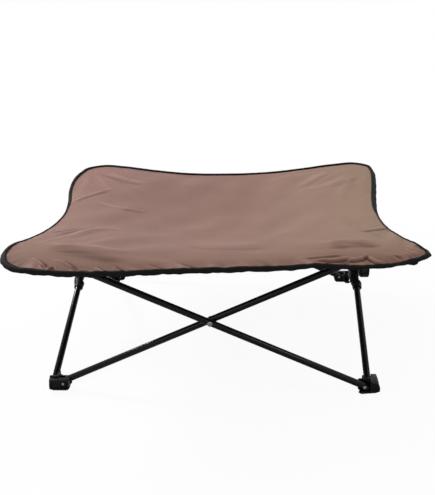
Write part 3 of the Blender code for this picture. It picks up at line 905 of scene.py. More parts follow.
@dataclass
class CrossingSleeves:
    """Moulded sleeves on the tubes at the middle of the left and right sides, thick round the rivet.

    A taper says where a change of the section starts, from the rivet, and how long it is.
    """

    finishes: Finishes
    tubes: CrossedTubes
    sizes: FrameSizes = SIZES
    length: float = 0.122
    thick: float = 0.0124
    end_radius: float = 0.0082
    outer_taper: Span = (0.036, 0.025)
    side_thick: float = 0.0132
    side_thin: float = 0.0082
    side_taper: Span = (0.022, 0.016)
    opening: float = 0.006
    ear: float = 0.0104
    ear_taper: Span = (0.040, 0.006)
    ear_end: float = 0.0094
    ear_end_taper: Span = (0.048, 0.012)
    mouth_radius: float = 0.0069
    mouth_depth: float = 0.009
    hub_radius: float = 0.0205
    hub_reach: float = 0.0160
    inner_hub_reach: float = 0.0114
    hub_dish: float = 0.0016
    land_radius: float = 0.0085
    rib_pitch: float = 0.0068
    rib_depth: float = 0.0007
    edge: float = 0.0004
    sides: int = 48

    def section(self, z: float, inset: float) -> list[Vector]:
        """Oval section of the sleeve, wide at its ends and clear of the other tube round the rivet.

        Args:
            z: Distance from the rivet along the tube.
            inset: How far the section stays inside the full one.

        Returns:
            Its points.
        """
        away = abs(z)
        outer = blend(self.thick, self.end_radius, ramp(away, *self.outer_taper))
        inner = blend(self.opening, self.ear, ramp(away, *self.ear_taper))
        inner += (self.ear_end - self.ear) * ramp(away, *self.ear_end_taper)
        across = blend(self.side_thick, self.side_thin, ramp(away, *self.side_taper))
        points = []
        for i in range(self.sides):
            a = math.tau * i / self.sides
            lateral = math.sin(a)
            reach = (inner if lateral > 0 else outer) - inset
            points.append(Vector(((across - inset) * math.cos(a), reach * lateral, z)))
        return points

    def levels(self) -> list[tuple[float, float]]:
        """Distance from the rivet and inset of each section of one half, with its grip ribs."""
        half = self.length / 2
        levels = [(0.010, 0.0), (self.hub_radius + 0.0015, 0.0)]
        z = self.hub_radius + 0.0030
        while z < half - 0.008:
            levels += [(z, 0.0), (z + 0.0012, self.rib_depth)]
            levels += [(z + 0.0026, self.rib_depth), (z + 0.0038, 0.0)]
            z += self.rib_pitch
        return levels + [(half - 0.0024, 0.0), (half - 0.0007, 0.0), (half - 0.0001, 0.0006)]

    def blank(self, reach: float) -> bpy.types.Object:
        """Sleeve along Z, open towards +Y, with grip ribs and a dished hub for the rivet.

        Args:
            reach: Tube axis to the face of the hub.

        Returns:
            The sleeve.
        """
        levels = self.levels()
        rings = [self.section(-z, inset) for z, inset in reversed(levels)]
        rings += [self.section(z, inset) for z, inset in levels]
        ob = new_object("sleeve_blank", *loft(rings))
        radius, land, dish = self.hub_radius, self.land_radius, reach - self.hub_dish
        hub_profile = [
            (radius - 0.003, -0.004),
            (radius, 0.0),
            (radius, reach - 0.0024),
            (radius - 0.0007, reach - 0.0007),
            (radius - 0.0024, reach),
            (radius - 0.0044, reach),
            (radius - 0.0056, dish),
            (land + 0.0012, dish),
            (land, reach - 0.0002),
        ]
        combine(ob, [placed(turned_body("hub", hub_profile, self.sides), ACROSS)], "UNION")
        half, mouth, bore = self.length / 2, self.mouth_radius, self.sizes.tube_radius + self.sizes.fit
        bore_profile = [(mouth, half + 0.001), (mouth, half), (bore, half - self.mouth_depth)]
        bore_profile = [(r, -z) for r, z in bore_profile] + bore_profile[::-1]
        wide = 2 * self.hub_radius
        drill = rod("drill", self.tubes.rivet_radius + self.sizes.fit, -wide, wide, self.tubes.hole_sides)
        cutters = [turned_body("bore", bore_profile, self.sides), placed(drill, ACROSS)]
        return soften(combine(ob, cutters, "DIFFERENCE"), self.edge, 34)

    def build(self) -> None:
        """Makes and dresses the four sleeves."""
        s = self.sizes
        middle = Matrix.Translation((0, 0, s.tube_span / 2))
        turned = middle @ Matrix.Rotation(math.pi, 4, "Z")
        layers = (
            ("outer", "b", self.blank(self.hub_reach), self.tubes.place(False, s.outer_plane) @ middle),
            ("inner", "a", self.blank(self.inner_hub_reach), self.tubes.place(True, s.inner_plane) @ turned),
        )
        for side in (Side.RIGHT, Side.LEFT):
            for layer, letter, blank, matrix in layers:
                node = f"{side.label}_{layer}_sleeve"
                ob = copy_of(blank, f"moulded_{node}", side.turn @ matrix)
                dress(ob, self.finishes.nylon, f"{side.label}_tube_{letter}", "nylon", node)
        discard(*(blank for _, _, blank, _ in layers))


@dataclass
class BracketMould:
    """What the moulded feet and top brackets share: an L with a clevis in each leg."""

    sizes: FrameSizes = SIZES
    wall: float = 0.0028
    inboard: float = 0.0106
    swing: float = 0.0007
    floor: float = 0.0028
    roof: float = 0.0025
    chamfer: float = 0.0052
    trim: float = 0.0042
    sunk_radius: float = 0.0043
    sunk: float = 0.0070
    inner_top: float = 0.0195
    block_top: float = 0.0220
    ledge: float = 0.0069
    top_chamfer: float = 0.0012
    corner_round: float = 0.0036
    corner_steps: int = 5
    pad_shares: tuple[float, ...] = (0.9, 1.0, 1.0, 0.62, 0.6)
    rim: float = 0.0024
    recess_depth: float = 0.0007
    land_radius: float = 0.0058
    gusset: float = 0.0085
    pin_radius: float = 0.0023
    pin_head: float = 0.0030
    pin_rise: float = 0.0013
    hole_sides: int = 20

    @property
    def slot_half(self) -> float:
        """Half the width of a clevis's slot."""
        return self.sizes.tube_radius + self.sizes.fit

    @property
    def leg_half(self) -> float:
        """Half the thickness of a leg."""
        return self.slot_half + self.wall

    @property
    def reach(self) -> float:
        """Pivot to the end of a slot, clear of the turning tube."""
        return math.hypot(self.sizes.tube_end, self.sizes.tube_radius) + self.swing

    def ell(self, x_plane: float, y_plane: float, inset: float, z: float, pad: float = 0.0) -> list[Vector]:
        """L-shaped section with rounded corners.

        Args:
            x_plane: Middle of the bed to the leg that runs along X.
            y_plane: Middle of the bed to the leg that runs along Y.
            inset: How far the section stays inside the full one.
            z: Its height.
            pad: How much thicker the leg along X is on its outer side.

        Returns:
            Its points.
        """
        end = self.sizes.half_spacing - self.inboard + inset
        half = self.leg_half - inset
        low_x, high_x = y_plane - half, y_plane + half
        end_x = high_x - (self.trim if pad > 0 else 0.0)
        low_y, high_y = x_plane - half, x_plane + half + pad
        places = ((end, low_y), (low_x, low_y), (low_x, end), (high_x, end), (end_x, high_y), (end, high_y))
        corners = [Vector(place) for place in places]
        points = []
        for i, here in enumerate(corners):
            convex = -1 if i == 1 else 1
            back = (corners[i - 1] - here).normalized()
            ahead = (corners[(i + 1) % len(corners)] - here).normalized()
            radius = self.corner_round * 0.6 if convex > 0 else self.corner_round
            radius = max(radius - convex * inset * 0.5, self.corner_round * 0.2)
            centre = here + (back + ahead) * radius
            for step in range(self.corner_steps + 1):
                t = math.pi / 2 * step / self.corner_steps
                p = centre - back * radius * math.sin(t) - ahead * radius * math.cos(t)
                points.append(Vector((p.x, p.y, z)))
        return points

    def pin_place(
        self, x_plane: float, y_plane: float, pivot_z: float, first_leg: bool, shift: float = 0.0
    ) -> Matrix:
        """Matrix that puts a body along +Z on a clevis's axis, from the outer face or moved out of it."""
        if first_leg:
            return along((0, 1, 0), (self.sizes.half_spacing, x_plane + self.leg_half + shift, pivot_z))
        return along((1, 0, 0), (y_plane + self.leg_half + shift, self.sizes.half_spacing, pivot_z))

    def panel(
        self,
        planes: tuple[float, float],
        levels: tuple[float, float],
        pivot_z: float,
        first_leg: bool,
        pad: float = 0.0,
    ) -> bpy.types.Object:
        """Cutter for the shallow panel of a leg, which leaves a round land under the pin's head."""
        x_plane, y_plane = planes
        pivot_x = self.sizes.half_spacing
        start = pivot_x - self.inboard + self.rim
        deep = self.recess_depth + 0.2 * pad
        far_rim = self.rim * 1.6
        if first_leg:
            face = x_plane + self.leg_half + pad
            stop = y_plane + self.leg_half - far_rim - (self.trim if pad > 0 else 0.0)
            ob = box("panel", (start, face - deep, levels[0]), (stop, face + deep, levels[1]))
            place = Matrix.Translation((pivot_x, face, pivot_z)) @ ACROSS
        else:
            face, stop = y_plane + self.leg_half, x_plane + self.leg_half - far_rim
            ob = box("panel", (face - deep, start, levels[0]), (face + deep, stop, levels[1]))
            place = Matrix.Translation((face, pivot_x, pivot_z)) @ Matrix.Rotation(math.pi / 2, 4, "Y")
        land = rod("land", self.land_radius, -4 * deep, 4 * deep)
        return combine(ob, [placed(land, place)], "DIFFERENCE")

    def body(
        self, planes: tuple[float, float], pivot_z: float, levels: tuple[float, float], pad: float = 0.0
    ) -> bpy.types.Object:
        """Whole bracket at the rear right corner: a foot with upward slots, or a top with downward ones.

        Args:
            planes: Middle of the bed to the leg along X and to the leg along Y.
            pivot_z: Height of its two pivots.
            levels: Its underside and its top.
            pad: Extra outer thickness of a foot's leg along X, or 0 for a top bracket.

        Returns:
            The unfinished body.
        """
        x_plane, y_plane = planes
        low, high = levels
        open_top = pad > 0
        top = self.top_chamfer
        bottom = self.chamfer if open_top else top
        insets = (bottom, 0.0, 0.0, 0.0, top)
        heights = (low, low + bottom, 0.5 * (low + high), high - top, high)
        sections = zip(insets, heights, self.pad_shares)
        rings = [self.ell(x_plane, y_plane, inset, z, share * pad) for inset, z, share in sections]
        ob = new_object("bracket", *loft(rings))
        corner_x, corner_y = y_plane - self.leg_half, x_plane - self.leg_half
        wall = self.wall
        web = (
            (corner_x - self.gusset, corner_y + wall),
            (corner_x + wall, corner_y - self.gusset),
            (corner_x + wall, corner_y + wall),
        )
        near, far = (self.chamfer, 3 * top) if open_top else (3 * top, top)
        combine(ob, [prism("web", web, low + near, high - far)], "UNION")
        panel_top = self.block_top if open_top else high - top
        panel_levels = (low + bottom + self.rim * 0.5, panel_top - self.rim * 0.5)
        cutters = [self.panel(planes, panel_levels, pivot_z, True, pad)]
        if open_top:
            cutters += self.opened(planes)
        else:
            cutters.append(self.panel(planes, panel_levels, pivot_z, False))
        near = self.sizes.half_spacing - 3 * self.inboard
        far = self.sizes.half_spacing + self.reach
        lift = self.floor if open_top else -self.roof
        z0, z1 = low + lift, high + lift
        cutters.append(box("slot", (near, x_plane - self.slot_half, z0), (far, x_plane + self.slot_half, z1)))
        cutters.append(box("slot", (y_plane - self.slot_half, near, z0), (y_plane + self.slot_half, far, z1)))
        depth = 2 * (self.leg_half + wall) + pad
        for first in (True, False):
            drill = rod("drill", self.pin_radius + self.sizes.fit, -depth, wall, self.hole_sides)
            shift = pad if first else 0.0
            cutters.append(placed(drill, self.pin_place(*planes, pivot_z, first, shift)))
        if open_top:
            sunk = rod("sunk", self.sunk_radius, self.sunk, pad + wall, self.hole_sides)
            cutters.append(placed(sunk, self.pin_place(*planes, pivot_z, True)))
        return combine(ob, cutters, "DIFFERENCE")

    def opened(self, planes: tuple[float, float]) -> list[bpy.types.Object]:
        """Cutters that lower a foot's thick block and leave its other tube open to the outside."""
        x_plane, y_plane = planes
        far, above = 3 * self.inboard, 2 * self.block_top
        pivot, slot = self.sizes.half_spacing, self.slot_half
        end = pivot - far
        return [
            box("block", (end, x_plane + slot, self.block_top), (pivot + far, x_plane + far, above)),
            box(
                "side",
                (y_plane + slot - 0.0002, end, self.ledge),
                (y_plane + far, pivot + self.reach, above),
            ),
            box(
                "inner",
                (end, x_plane - 2 * self.leg_half, self.inner_top),
                (y_plane - self.leg_half, x_plane - slot, above),
            ),
        ]

    def pin(self, name: str, shift: float = 0.0) -> bpy.types.Object:
        """Headed pin along +Z with a domed, dimpled head and a closed tail on the inner wall.

        Args:
            name: Name of the object.
            shift: How far its head is moved out from the leg's outer face.

        Returns:
            The pin.
        """
        gap, shank = self.sizes.fit, self.pin_radius
        depth = 2 * self.leg_half + gap + shift
        tail = [(0.35, 0.0007), (0.9, 0.0011), (1.28, 0.0008), (1.36, 0.0003), (1.3, 0.0), (1.0, 0.0)]
        dome = [(0.96, 0.0), (1.0, 0.18), (0.96, 0.45), (0.84, 0.72), (0.62, 0.94), (0.36, 1.0), (0.24, 0.95)]
        profile = [(shank * r, -depth - z) for r, z in tail] + [(shank, gap)]
        profile += [(self.pin_head * r, gap + self.pin_rise * z) for r, z in [*dome, (0.14, 0.7)]]
        return soften(turned_body(name, profile, 28), angle=45)


@dataclass
class CornerArms:
    """Arms from the top brackets to the corners of the sheet, with the sewn pockets that they end in."""

    finishes: Finishes
    sizes: FrameSizes = SIZES
    rise: float = math.radians(9.0)
    start: float = 0.0175
    drop: float = 0.0015
    end_round: float = 0.0012
    pocket_length: float = 0.030
    pocket_wall: float = 0.0014
    pocket_rings: int = 9
    patch_half: float = 0.014
    patch_round: float = 0.0006
    seam_half: float = 0.0036
    sides: int = 36

    @property
    def direction(self) -> Vector:
        """Direction of the rear right arm."""
        flat = math.cos(self.rise) / math.sqrt(2)
        return Vector((flat, flat, math.sin(self.rise)))

    def point(self, distance: float) -> Vector:
        """Point on the rear right arm's axis, that far from the blind end of its socket."""
        s = self.sizes
        first = Vector((s.half_spacing + self.start, s.half_spacing + self.start, s.upper_pivot - self.drop))
        return first + self.direction * distance

    def axis(self) -> Matrix:
        """Matrix that lays a body modelled along +Z along the rear right arm."""
        return along(self.direction, self.point(0))

    def length(self) -> float:
        """Length of an arm, read from its node's box."""
        _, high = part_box("rear_right_arm")
        flat = self.direction.x
        reach = high.x - self.point(0).x - self.sizes.tube_radius * math.sqrt(1 - flat * flat)
        return reach / flat

    def build(self) -> None:
        """Makes and dresses the arms and pockets of the four corners."""
        length, r, fit = self.length(), self.sizes.tube_radius, self.sizes.fit
        blind, end = 0.0006, self.end_round
        profile = [(r - blind, fit), (r, fit + blind), (r, length - end), (r - end, length)]
        for corner in Corner:
            name = corner.label
            arm = turned_body(f"coated_{name}_arm", profile, self.sides)
            soften(placed(arm, corner.turn @ self.axis()))
            dress(arm, self.finishes.tube, f"{name}_top", "coated_tube", f"{name}_arm")
            pocket = placed(self.pocket(f"sewn_{name}_pocket", length), corner.turn)
            dress(pocket, self.finishes.tape, f"{name}_top", "webbing", f"{name}_pocket")

    def pocket(self, name: str, length: float) -> bpy.types.Object:
        """Pocket of doubled tape round the arm's end, flattened upwards into the patch sewn to the sheet."""
        bore = self.sizes.tube_radius + self.sizes.fit
        axis = self.axis()
        span = self.pocket_length + self.pocket_wall + 0.0002
        steps = self.pocket_rings
        rings = []
        for k in range(steps + 1):
            z = length - self.pocket_length + span * k / steps
            closing = 1.0 if k < steps else 0.82
            ring = []
            for i in range(48):
                a = math.tau * i / 48
                radius = (bore + self.pocket_wall) * closing * (1 + 0.02 * math.sin(3 * a + k))
                ring.append(axis @ Vector((radius * math.cos(a), radius * math.sin(a), z)))
            rings.append(ring)
        ob = new_object(name, *loft(rings))
        centre = self.point(length - self.pocket_length * 0.5)
        upright = Matrix.Translation((centre.x, centre.y, 0)) @ Matrix.Rotation(math.pi / 4, 4, "Z")
        _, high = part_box("rear_right_pocket")
        top = high.z - 0.0001
        patch_rings = []
        edge = self.patch_round
        for depth, inset in ((0.0014, edge), (0.0011, 0.0), (0.0003, 0.0), (0.0, edge)):
            ring = []
            for i in range(40):
                a = math.tau * i / 40 + math.pi / 4
                c, sn = math.cos(a), math.sin(a)
                size = (self.patch_half - inset) / (abs(c) ** 6 + abs(sn) ** 6) ** (1 / 6)
                ring.append(Vector((size * c, size * sn, top - depth)))
            patch_rings.append(ring)
        long, across = self.patch_half * 0.8, self.seam_half
        seam = box("seam", (-long, -across, centre.z + bore), (long, across, top - 0.0007))
        patch = new_object("patch", *loft(patch_rings))
        combine(ob, [placed(patch, upright), placed(seam, upright)], "UNION")
        hollow = rod("hollow", bore, -length, length + self.sizes.fit, self.sides)
        return soften(combine(ob, [placed(hollow, axis)], "DIFFERENCE"), angle=40)


@dataclass
class CornerBrackets:
    """Feet, top brackets and their pins at the four corners."""

    finishes: Finishes
    arms: CornerArms
    mould: BracketMould = field(default_factory=BracketMould)
    foot_height: float = 0.025
    foot_pad: float = 0.0105
    skirt: float = 0.0115
    socket_depth: float = 0.028
    socket_wall: float = 0.0026
    socket_lip: float = 0.0012
    socket_sides: int = 40
    edge: float = 0.00035
    edge_angle: float = 34

    def foot(self) -> bpy.types.Object:
        """Foot at the rear right corner, with a flat underside and bevelled lower edges."""
        s = self.mould.sizes
        levels = (0.0, self.foot_height)
        ob = self.mould.body((s.inner_plane, s.outer_plane), s.pivot_height, levels, self.foot_pad)
        return soften(ob, self.edge, self.edge_angle)

    def top(self) -> bpy.types.Object:
        """Top bracket at the rear right corner, with the socket for its arm."""
        m, s = self.mould, self.mould.sizes
        levels = (s.upper_pivot - self.skirt, s.upper_pivot + m.reach + m.roof)
        ob = m.body((s.outer_plane, s.inner_plane), s.upper_pivot, levels)
        bore_radius = s.tube_radius + s.fit
        radius, lip, depth = bore_radius + self.socket_wall, self.socket_lip, self.socket_depth
        profile = [(radius, -radius * 0.25), (radius, depth - 4 * lip), (radius + lip, depth - 3 * lip)]
        socket = turned_body("socket", [*profile, (radius + lip, depth)], self.socket_sides)
        axis = self.arms.axis()
        combine(ob, [placed(socket, axis)], "UNION")
        bore = rod("bore", bore_radius, 0.0, 2 * depth, self.socket_sides)
        return soften(combine(ob, [placed(bore, axis)], "DIFFERENCE"), self.edge, self.edge_angle)

    def build(self) -> None:
        """Makes and dresses all brackets and pins."""
        m, s = self.mould, self.mould.sizes
        levels = (
            ("foot", "foot", self.foot(), (s.inner_plane, s.outer_plane), s.pivot_height),
            ("top", "top_bracket", self.top(), (s.outer_plane, s.inner_plane), s.upper_pivot),
        )
        for corner in Corner:
            name = corner.label
            for level, piece, blank, _, _ in levels:
                ob = copy_of(blank, f"moulded_{name}_{piece}", corner.turn)
                dress(ob, self.finishes.nylon, f"{name}_{level}", "nylon", f"{name}_{piece}")
            for first, side in zip((True, False), corner.leg_sides):
                for level, _, _, planes, pivot in levels:
                    node = f"{name}_{level}_pin_{side.label}"
                    shift = (m.sunk if first else -m.wall) if level == "foot" else 0.0
                    pin = m.pin(f"steel_{node}", shift)
                    placed(pin, corner.turn @ m.pin_place(*planes, pivot, first, shift))
                    dress(pin, self.finishes.steel, f"{name}_{level}", "rivet_steel", node)
        discard(*(blank for _, _, blank, _, _ in levels))


# Sheet


# Tenths of a millimetre in a metre: the two tables below give their lengths in them
TENTHS = 10000
FAR_OFF = 9.0
INWARDS = 0.000002

# X and Y of points round the sheet's edge
OUTLINE = (
    (3135, -200), (3210, 800), (3295, 1500), (3365, 2150), (3410, 2850), (3360, 3320), (3030, 3630),
    (2550, 3520), (1880, 3310), (0, 3180), (-1880, 3290), (-2550, 3500), (-3020, 3630), (-3390, 3370),
    (-3490, 2850), (-3510, 2200), (-3460, 1650), (-3250, 620), (-3120, -200), (-3080, -1200),
    (-3130, -2000), (-3240, -2430), (-3365, -2680), (-3405, -2980), (-3360, -3360), (-3210, -3710),
    (-2960, -3920), (-2620, -4010), (-2250, -4035), (-1800, -3970), (-1250, -3815), (-720, -3655),
    (-50, -3560), (600, -3530), (1300, -3560), (1910, -3620), (2400, -3655), (2890, -3600), (3200, -3530),
    (3440, -3430), (3570, -3280), (3585, -3110), (3515, -2910), (3350, -2520), (3190, -1850), (3125, -1000),
)

# Rise, width, depth of the hollow beside it, whether that lies behind, and X and Y of places along it
CREASES = (
    (30, 55, 0.15, False, -3220, 500, -2850, 1130, -2400, 1650),
    (22, 55, 0.15, False, -2750, 750, -2210, 390, -1600, 150),
    (14, 50, 0.5, False, -2050, 270, -1500, 290),
    (34, 100, 0.35, True, -2790, -2520, -2530, -2160, -2240, -1600, -1930, -1300, -1400, -1040),
    (22, 65, 0.7, True, -2910, -2000, -2680, -1840, -2400, -1500),
    (50, 110, 0.0, False, -2870, -2620, -2550, -2790, -2250, -2800, -1970, -2800, -1500, -2920, -1100, -2900),
    (-30, 220, 0.0, False, -2800, -3000, -2400, -3060, -2000, -3180, -1500, -3380, -1100, -3450),
    (40, 28, 1.2, True, -2900, -3500, -2660, -3710, -2460, -3930),
    (44, 30, 1.3, True, -2490, -3520, -2180, -3765, -1960, -3975),
    (24, 25, 1.0, False, -1970, -3840, -1800, -3900, -1550, -3935),
    (26, 26, 1.2, True, -1750, -3740, -1620, -3850, -1500, -3915),
    (34, 28, 1.2, True, -1480, -3660, -1350, -3765, -1200, -3850),
    (22, 20, 0.8, False, -2455, -3990, -2435, -3880, -2370, -3850, -2300, -3960),
    (18, 22, 1.0, True, -2620, -3840, -2570, -3900, -2500, -3965),
    (18, 22, 1.0, True, -2130, -3890, -2050, -3945, -1980, -4015),
    (22, 26, 1.0, True, -950, -3490, -800, -3570, -620, -3640),
    (20, 28, 1.0, True, -450, -3400, -300, -3490, -100, -3550),
    (20, 45, 0.6, False, 2550, -1860, 2940, -1710, 3220, -1500),
    (40, 65, 0.25, False, 1900, -2620, 2260, -2540, 2430, -2530, 2850, -2650),
    (-34, 130, 0.0, False, 1950, -2900, 2200, -2840, 2450, -2810, 3000, -2900),
    (16, 28, 0.9, True, 3510, -3150, 3390, -3060, 3250, -2900),
    (20, 30, 0.9, True, 3480, -3300, 3340, -3250, 3180, -3050),
    (18, 28, 0.9, True, 3370, -3430, 3250, -3360, 3080, -3180),
    (26, 30, 0.9, False, 1710, -3420, 1840, -3410, 2080, -3440, 2360, -3380),
    (16, 26, 0.9, False, 1500, -3300, 1810, -3310, 2040, -3300, 2280, -3280),
    (26, 28, 1.1, False, 2220, -3450, 2450, -3440, 2620, -3320),
    (26, 28, 1.0, False, 2560, -3330, 2710, -3490, 2920, -3560),
    (22, 24, 1.0, True, 1650, -3560, 1990, -3570, 2350, -3595),
    (20, 26, 1.0, False, 900, -3480, 1200, -3500, 1580, -3505),
    (18, 26, 1.0, False, 200, -3450, 450, -3490, 800, -3500),
    (18, 24, 1.0, True, 2920, -3400, 3030, -3480, 3160, -3510),
    (18, 100, 0.4, False, 2400, 3000, 2000, 2300, 1500, 1800),
    (16, 120, 0.3, False, 3000, 2400, 2450, 1900, 1700, 1600),
    (20, 100, 0.4, False, -2900, 2900, -2350, 2400, -1650, 2150),
    (16, 180, 0.3, False, -500, -2000, 300, -2250, 1200, -2150),
)


def ease(t: np.ndarray | float) -> np.ndarray:
    """0 to 1 with flat ends."""
    t = np.clip(t, 0.0, 1.0)
    return t * t * t * (t * (6 * t - 15) + 10)


def bump(distance: np.ndarray, width: float) -> np.ndarray:
    """1 on a line, falling softly to 0 beside it."""
    return np.exp(-((distance / width) ** 2))


def distances_along(points: np.ndarray) -> np.ndarray:
    """How far along a line each of its points is."""
    return np.concatenate([[0.0], np.cumsum(np.linalg.norm(np.diff(points, axis=0), axis=1))])


def points_along(points: np.ndarray, travelled: np.ndarray, at: np.ndarray) -> np.ndarray:
    """Points of a line seen from above, that far along it."""
    return np.column_stack([np.interp(at, travelled, points[:, k]) for k in (0, 1)])


def nearest(
    pts: np.ndarray, path: np.ndarray, travelled: np.ndarray
) -> tuple[np.ndarray, np.ndarray, np.ndarray]:
    """Nearest place on a line for each of some points.

    Args:
        pts: Points seen from above.
        path: Points of the line.
        travelled: How far along the line each of its points is.

    Returns:
        Distances, places along the line, and 1 for a point behind its place or -1 for one in front of it.
    """
    best, place, side = np.full(len(pts), FAR_OFF), np.zeros(len(pts)), np.zeros(len(pts))
    for i in range(len(path) - 1):
        a, d = path[i], path[i + 1] - path[i]
        t = np.clip(((pts - a) @ d) / (d @ d), 0.0, 1.0)
        off = pts - (a + t[:, None] * d)
        gap = np.linalg.norm(off, axis=1)
        nearer = gap < best
        best[nearer] = gap[nearer]
        place[nearer] = (travelled[i] + t * (travelled[i + 1] - travelled[i]))[nearer]
        side[nearer] = np.sign(off[:, 1])[nearer]
    return best, place, side


@dataclass(frozen=True)
class SheetForm:
    """Outline and height of the stretched sheet, pulled a little out of square by its load.

    The outline's own points are in tenths of a millimetre.
    """

    waist_x: float = 0.323
    waist_y: float = 0.346
    corner_height: float = 0.27346
    edge_sag: float = 0.0145
    middle_sag: float = 0.042
    rear_dip: float = 0.0015
    outline_points: tuple[tuple[int, int], ...] = OUTLINE

    def outline(self, spacing: float) -> np.ndarray:
        """Points round the sheet, anticlockwise from the middle of the right edge.

        Args:
            spacing: Distance between two points.

        Returns:
            Evenly spaced points on a smooth closed curve through the outline's own points.
        """
        knots = np.array(self.outline_points) / TENTHS
        before, after = np.roll(knots, 1, axis=0), np.roll(knots, -1, axis=0)
        chord = np.linalg.norm(after - knots, axis=1)
        chord_before = np.roll(chord, 1)
        slope = (
            (after - knots) / chord[:, None] * chord_before[:, None]
            + (knots - before) / chord_before[:, None] * chord[:, None]
        ) / (chord + chord_before)[:, None]
        dense: list[np.ndarray] = []
        for i in range(len(knots)):
            j = (i + 1) % len(knots)
            for t in np.linspace(0.0, 1.0, 24, endpoint=False):
                a = (1 + 2 * t) * (1 - t) ** 2
                b = t * (1 - t) ** 2 * chord[i]
                c = t * t * (3 - 2 * t)
                d = -t * t * (1 - t) * chord[i]
                dense.append(knots[i] * a + slope[i] * b + knots[j] * c + slope[j] * d)
        closed = np.array([*dense, dense[0]])
        travelled = distances_along(closed)
        count = int(round(travelled[-1] / spacing))
        return points_along(closed, travelled, np.linspace(0.0, travelled[-1], count, endpoint=False))

    def height(self, x: np.ndarray, y: np.ndarray) -> np.ndarray:
        """Height of the unwrinkled sheet: level at the corners, lower at the edges, lowest in the middle."""
        s = ease(np.abs(x) / self.waist_x)
        t = ease(np.abs(y) / self.waist_y)
        middle = (1 - s) * (1 - t)
        edges = s * (1 - t) + t * (1 - s)
        rear = smooth(y, 0.2, 0.12)
        return self.corner_height - self.middle_sag * middle - self.edge_sag * edges - self.rear_dip * rear


@dataclass(frozen=True)
class Crease:
    """One fold of the cloth, along a bent line seen from above."""

    points: tuple[tuple[float, float], ...]
    rise: float
    width: float
    hollow: float
    behind: bool
    fade: float = 0.3
    full_tone_rise: float = 0.0022

    @classmethod
    def from_row(cls, rise: int, width: int, hollow: float, behind: bool, *way: int) -> "Crease":
        """Crease from a row of the table.

        Args:
            rise: Height of its ridge, below 0 for a trough, in tenths of a millimetre.
            width: Half its width, in tenths of a millimetre.
            hollow: Depth of the hollow beside it, as a share of its height.
            behind: Whether that hollow lies behind it.
            *way: Where it runs: X and Y of each place in turn, in tenths of a millimetre.

        Returns:
            The crease.
        """
        places = [n / TENTHS for n in way]
        return cls(tuple(zip(places[::2], places[1::2])), rise / TENTHS, width / TENTHS, hollow, behind)

    def line(self) -> tuple[np.ndarray, np.ndarray]:
        """Closely spaced points along the fold, and how far along it each one is."""
        line = np.array(self.points)
        dense = [line[0]]
        for i in range(len(line) - 1):
            p0, p1, p2, p3 = line[max(i - 1, 0)], line[i], line[i + 1], line[min(i + 2, len(line) - 1)]
            for k in range(1, 9):
                t = k / 8
                curve = 2 * p1 + (p2 - p0) * t + (2 * p0 - 5 * p1 + 4 * p2 - p3) * t * t
                dense.append(0.5 * (curve + (3 * p1 - p0 - 3 * p2 + p3) * t**3))
        points = np.array(dense)
        return points, distances_along(points)

    def rails(self, step: float) -> np.ndarray:
        """Mesh points in rows beside the fold, closest together where it bends most.

        Args:
            step: Distance between two points of a row.

        Returns:
            The points of all rows.
        """
        points, travelled = self.line()
        count = max(3, int(travelled[-1] / step))
        centre = points_along(points, travelled, np.linspace(0.0, travelled[-1], count))
        ahead = np.gradient(centre, axis=0)
        ahead /= np.linalg.norm(ahead, axis=1)[:, None]
        beside = np.column_stack([ahead[:, 1], -ahead[:, 0]]) * self.width
        rows = [0.0] + [sign * k for k in (0.5, 1.0, 1.5, 2.1, 2.9) for sign in (1, -1)]
        return np.vstack([centre + beside * k for k in rows])

    def heights(self, x: np.ndarray, y: np.ndarray) -> tuple[np.ndarray, np.ndarray]:
        """Heights that the fold adds, and its painted shading: a painted highlight on the ridge (above 0) and
        painted shade in the hollow (below 0).

        Args:
            x: Points across.
            y: Points front to rear.

        Returns:
            Heights of a ridge with a narrow hollow in front of it or behind it, and their painted highlight
            and shade.
        """
        points, travelled = self.line()
        gap, place, side = nearest(np.column_stack([x, y]), points, travelled)
        place /= travelled[-1]
        ends = smooth(place / self.fade) * smooth((1 - place) / self.fade)
        signed = gap * (side if self.behind else -side)
        ridge = bump(signed, self.width)
        valley = self.hollow * bump(signed - 1.6 * self.width, 0.65 * self.width)
        # Painted highlight on the ridge and painted shade in the hollow beside it, stronger for a higher fold
        strength = float(np.clip(self.rise / self.full_tone_rise, -1.2, 1.2))
        return self.rise * ends * (ridge - valley), strength * ends * (0.6 * ridge - 1.5 * valley)


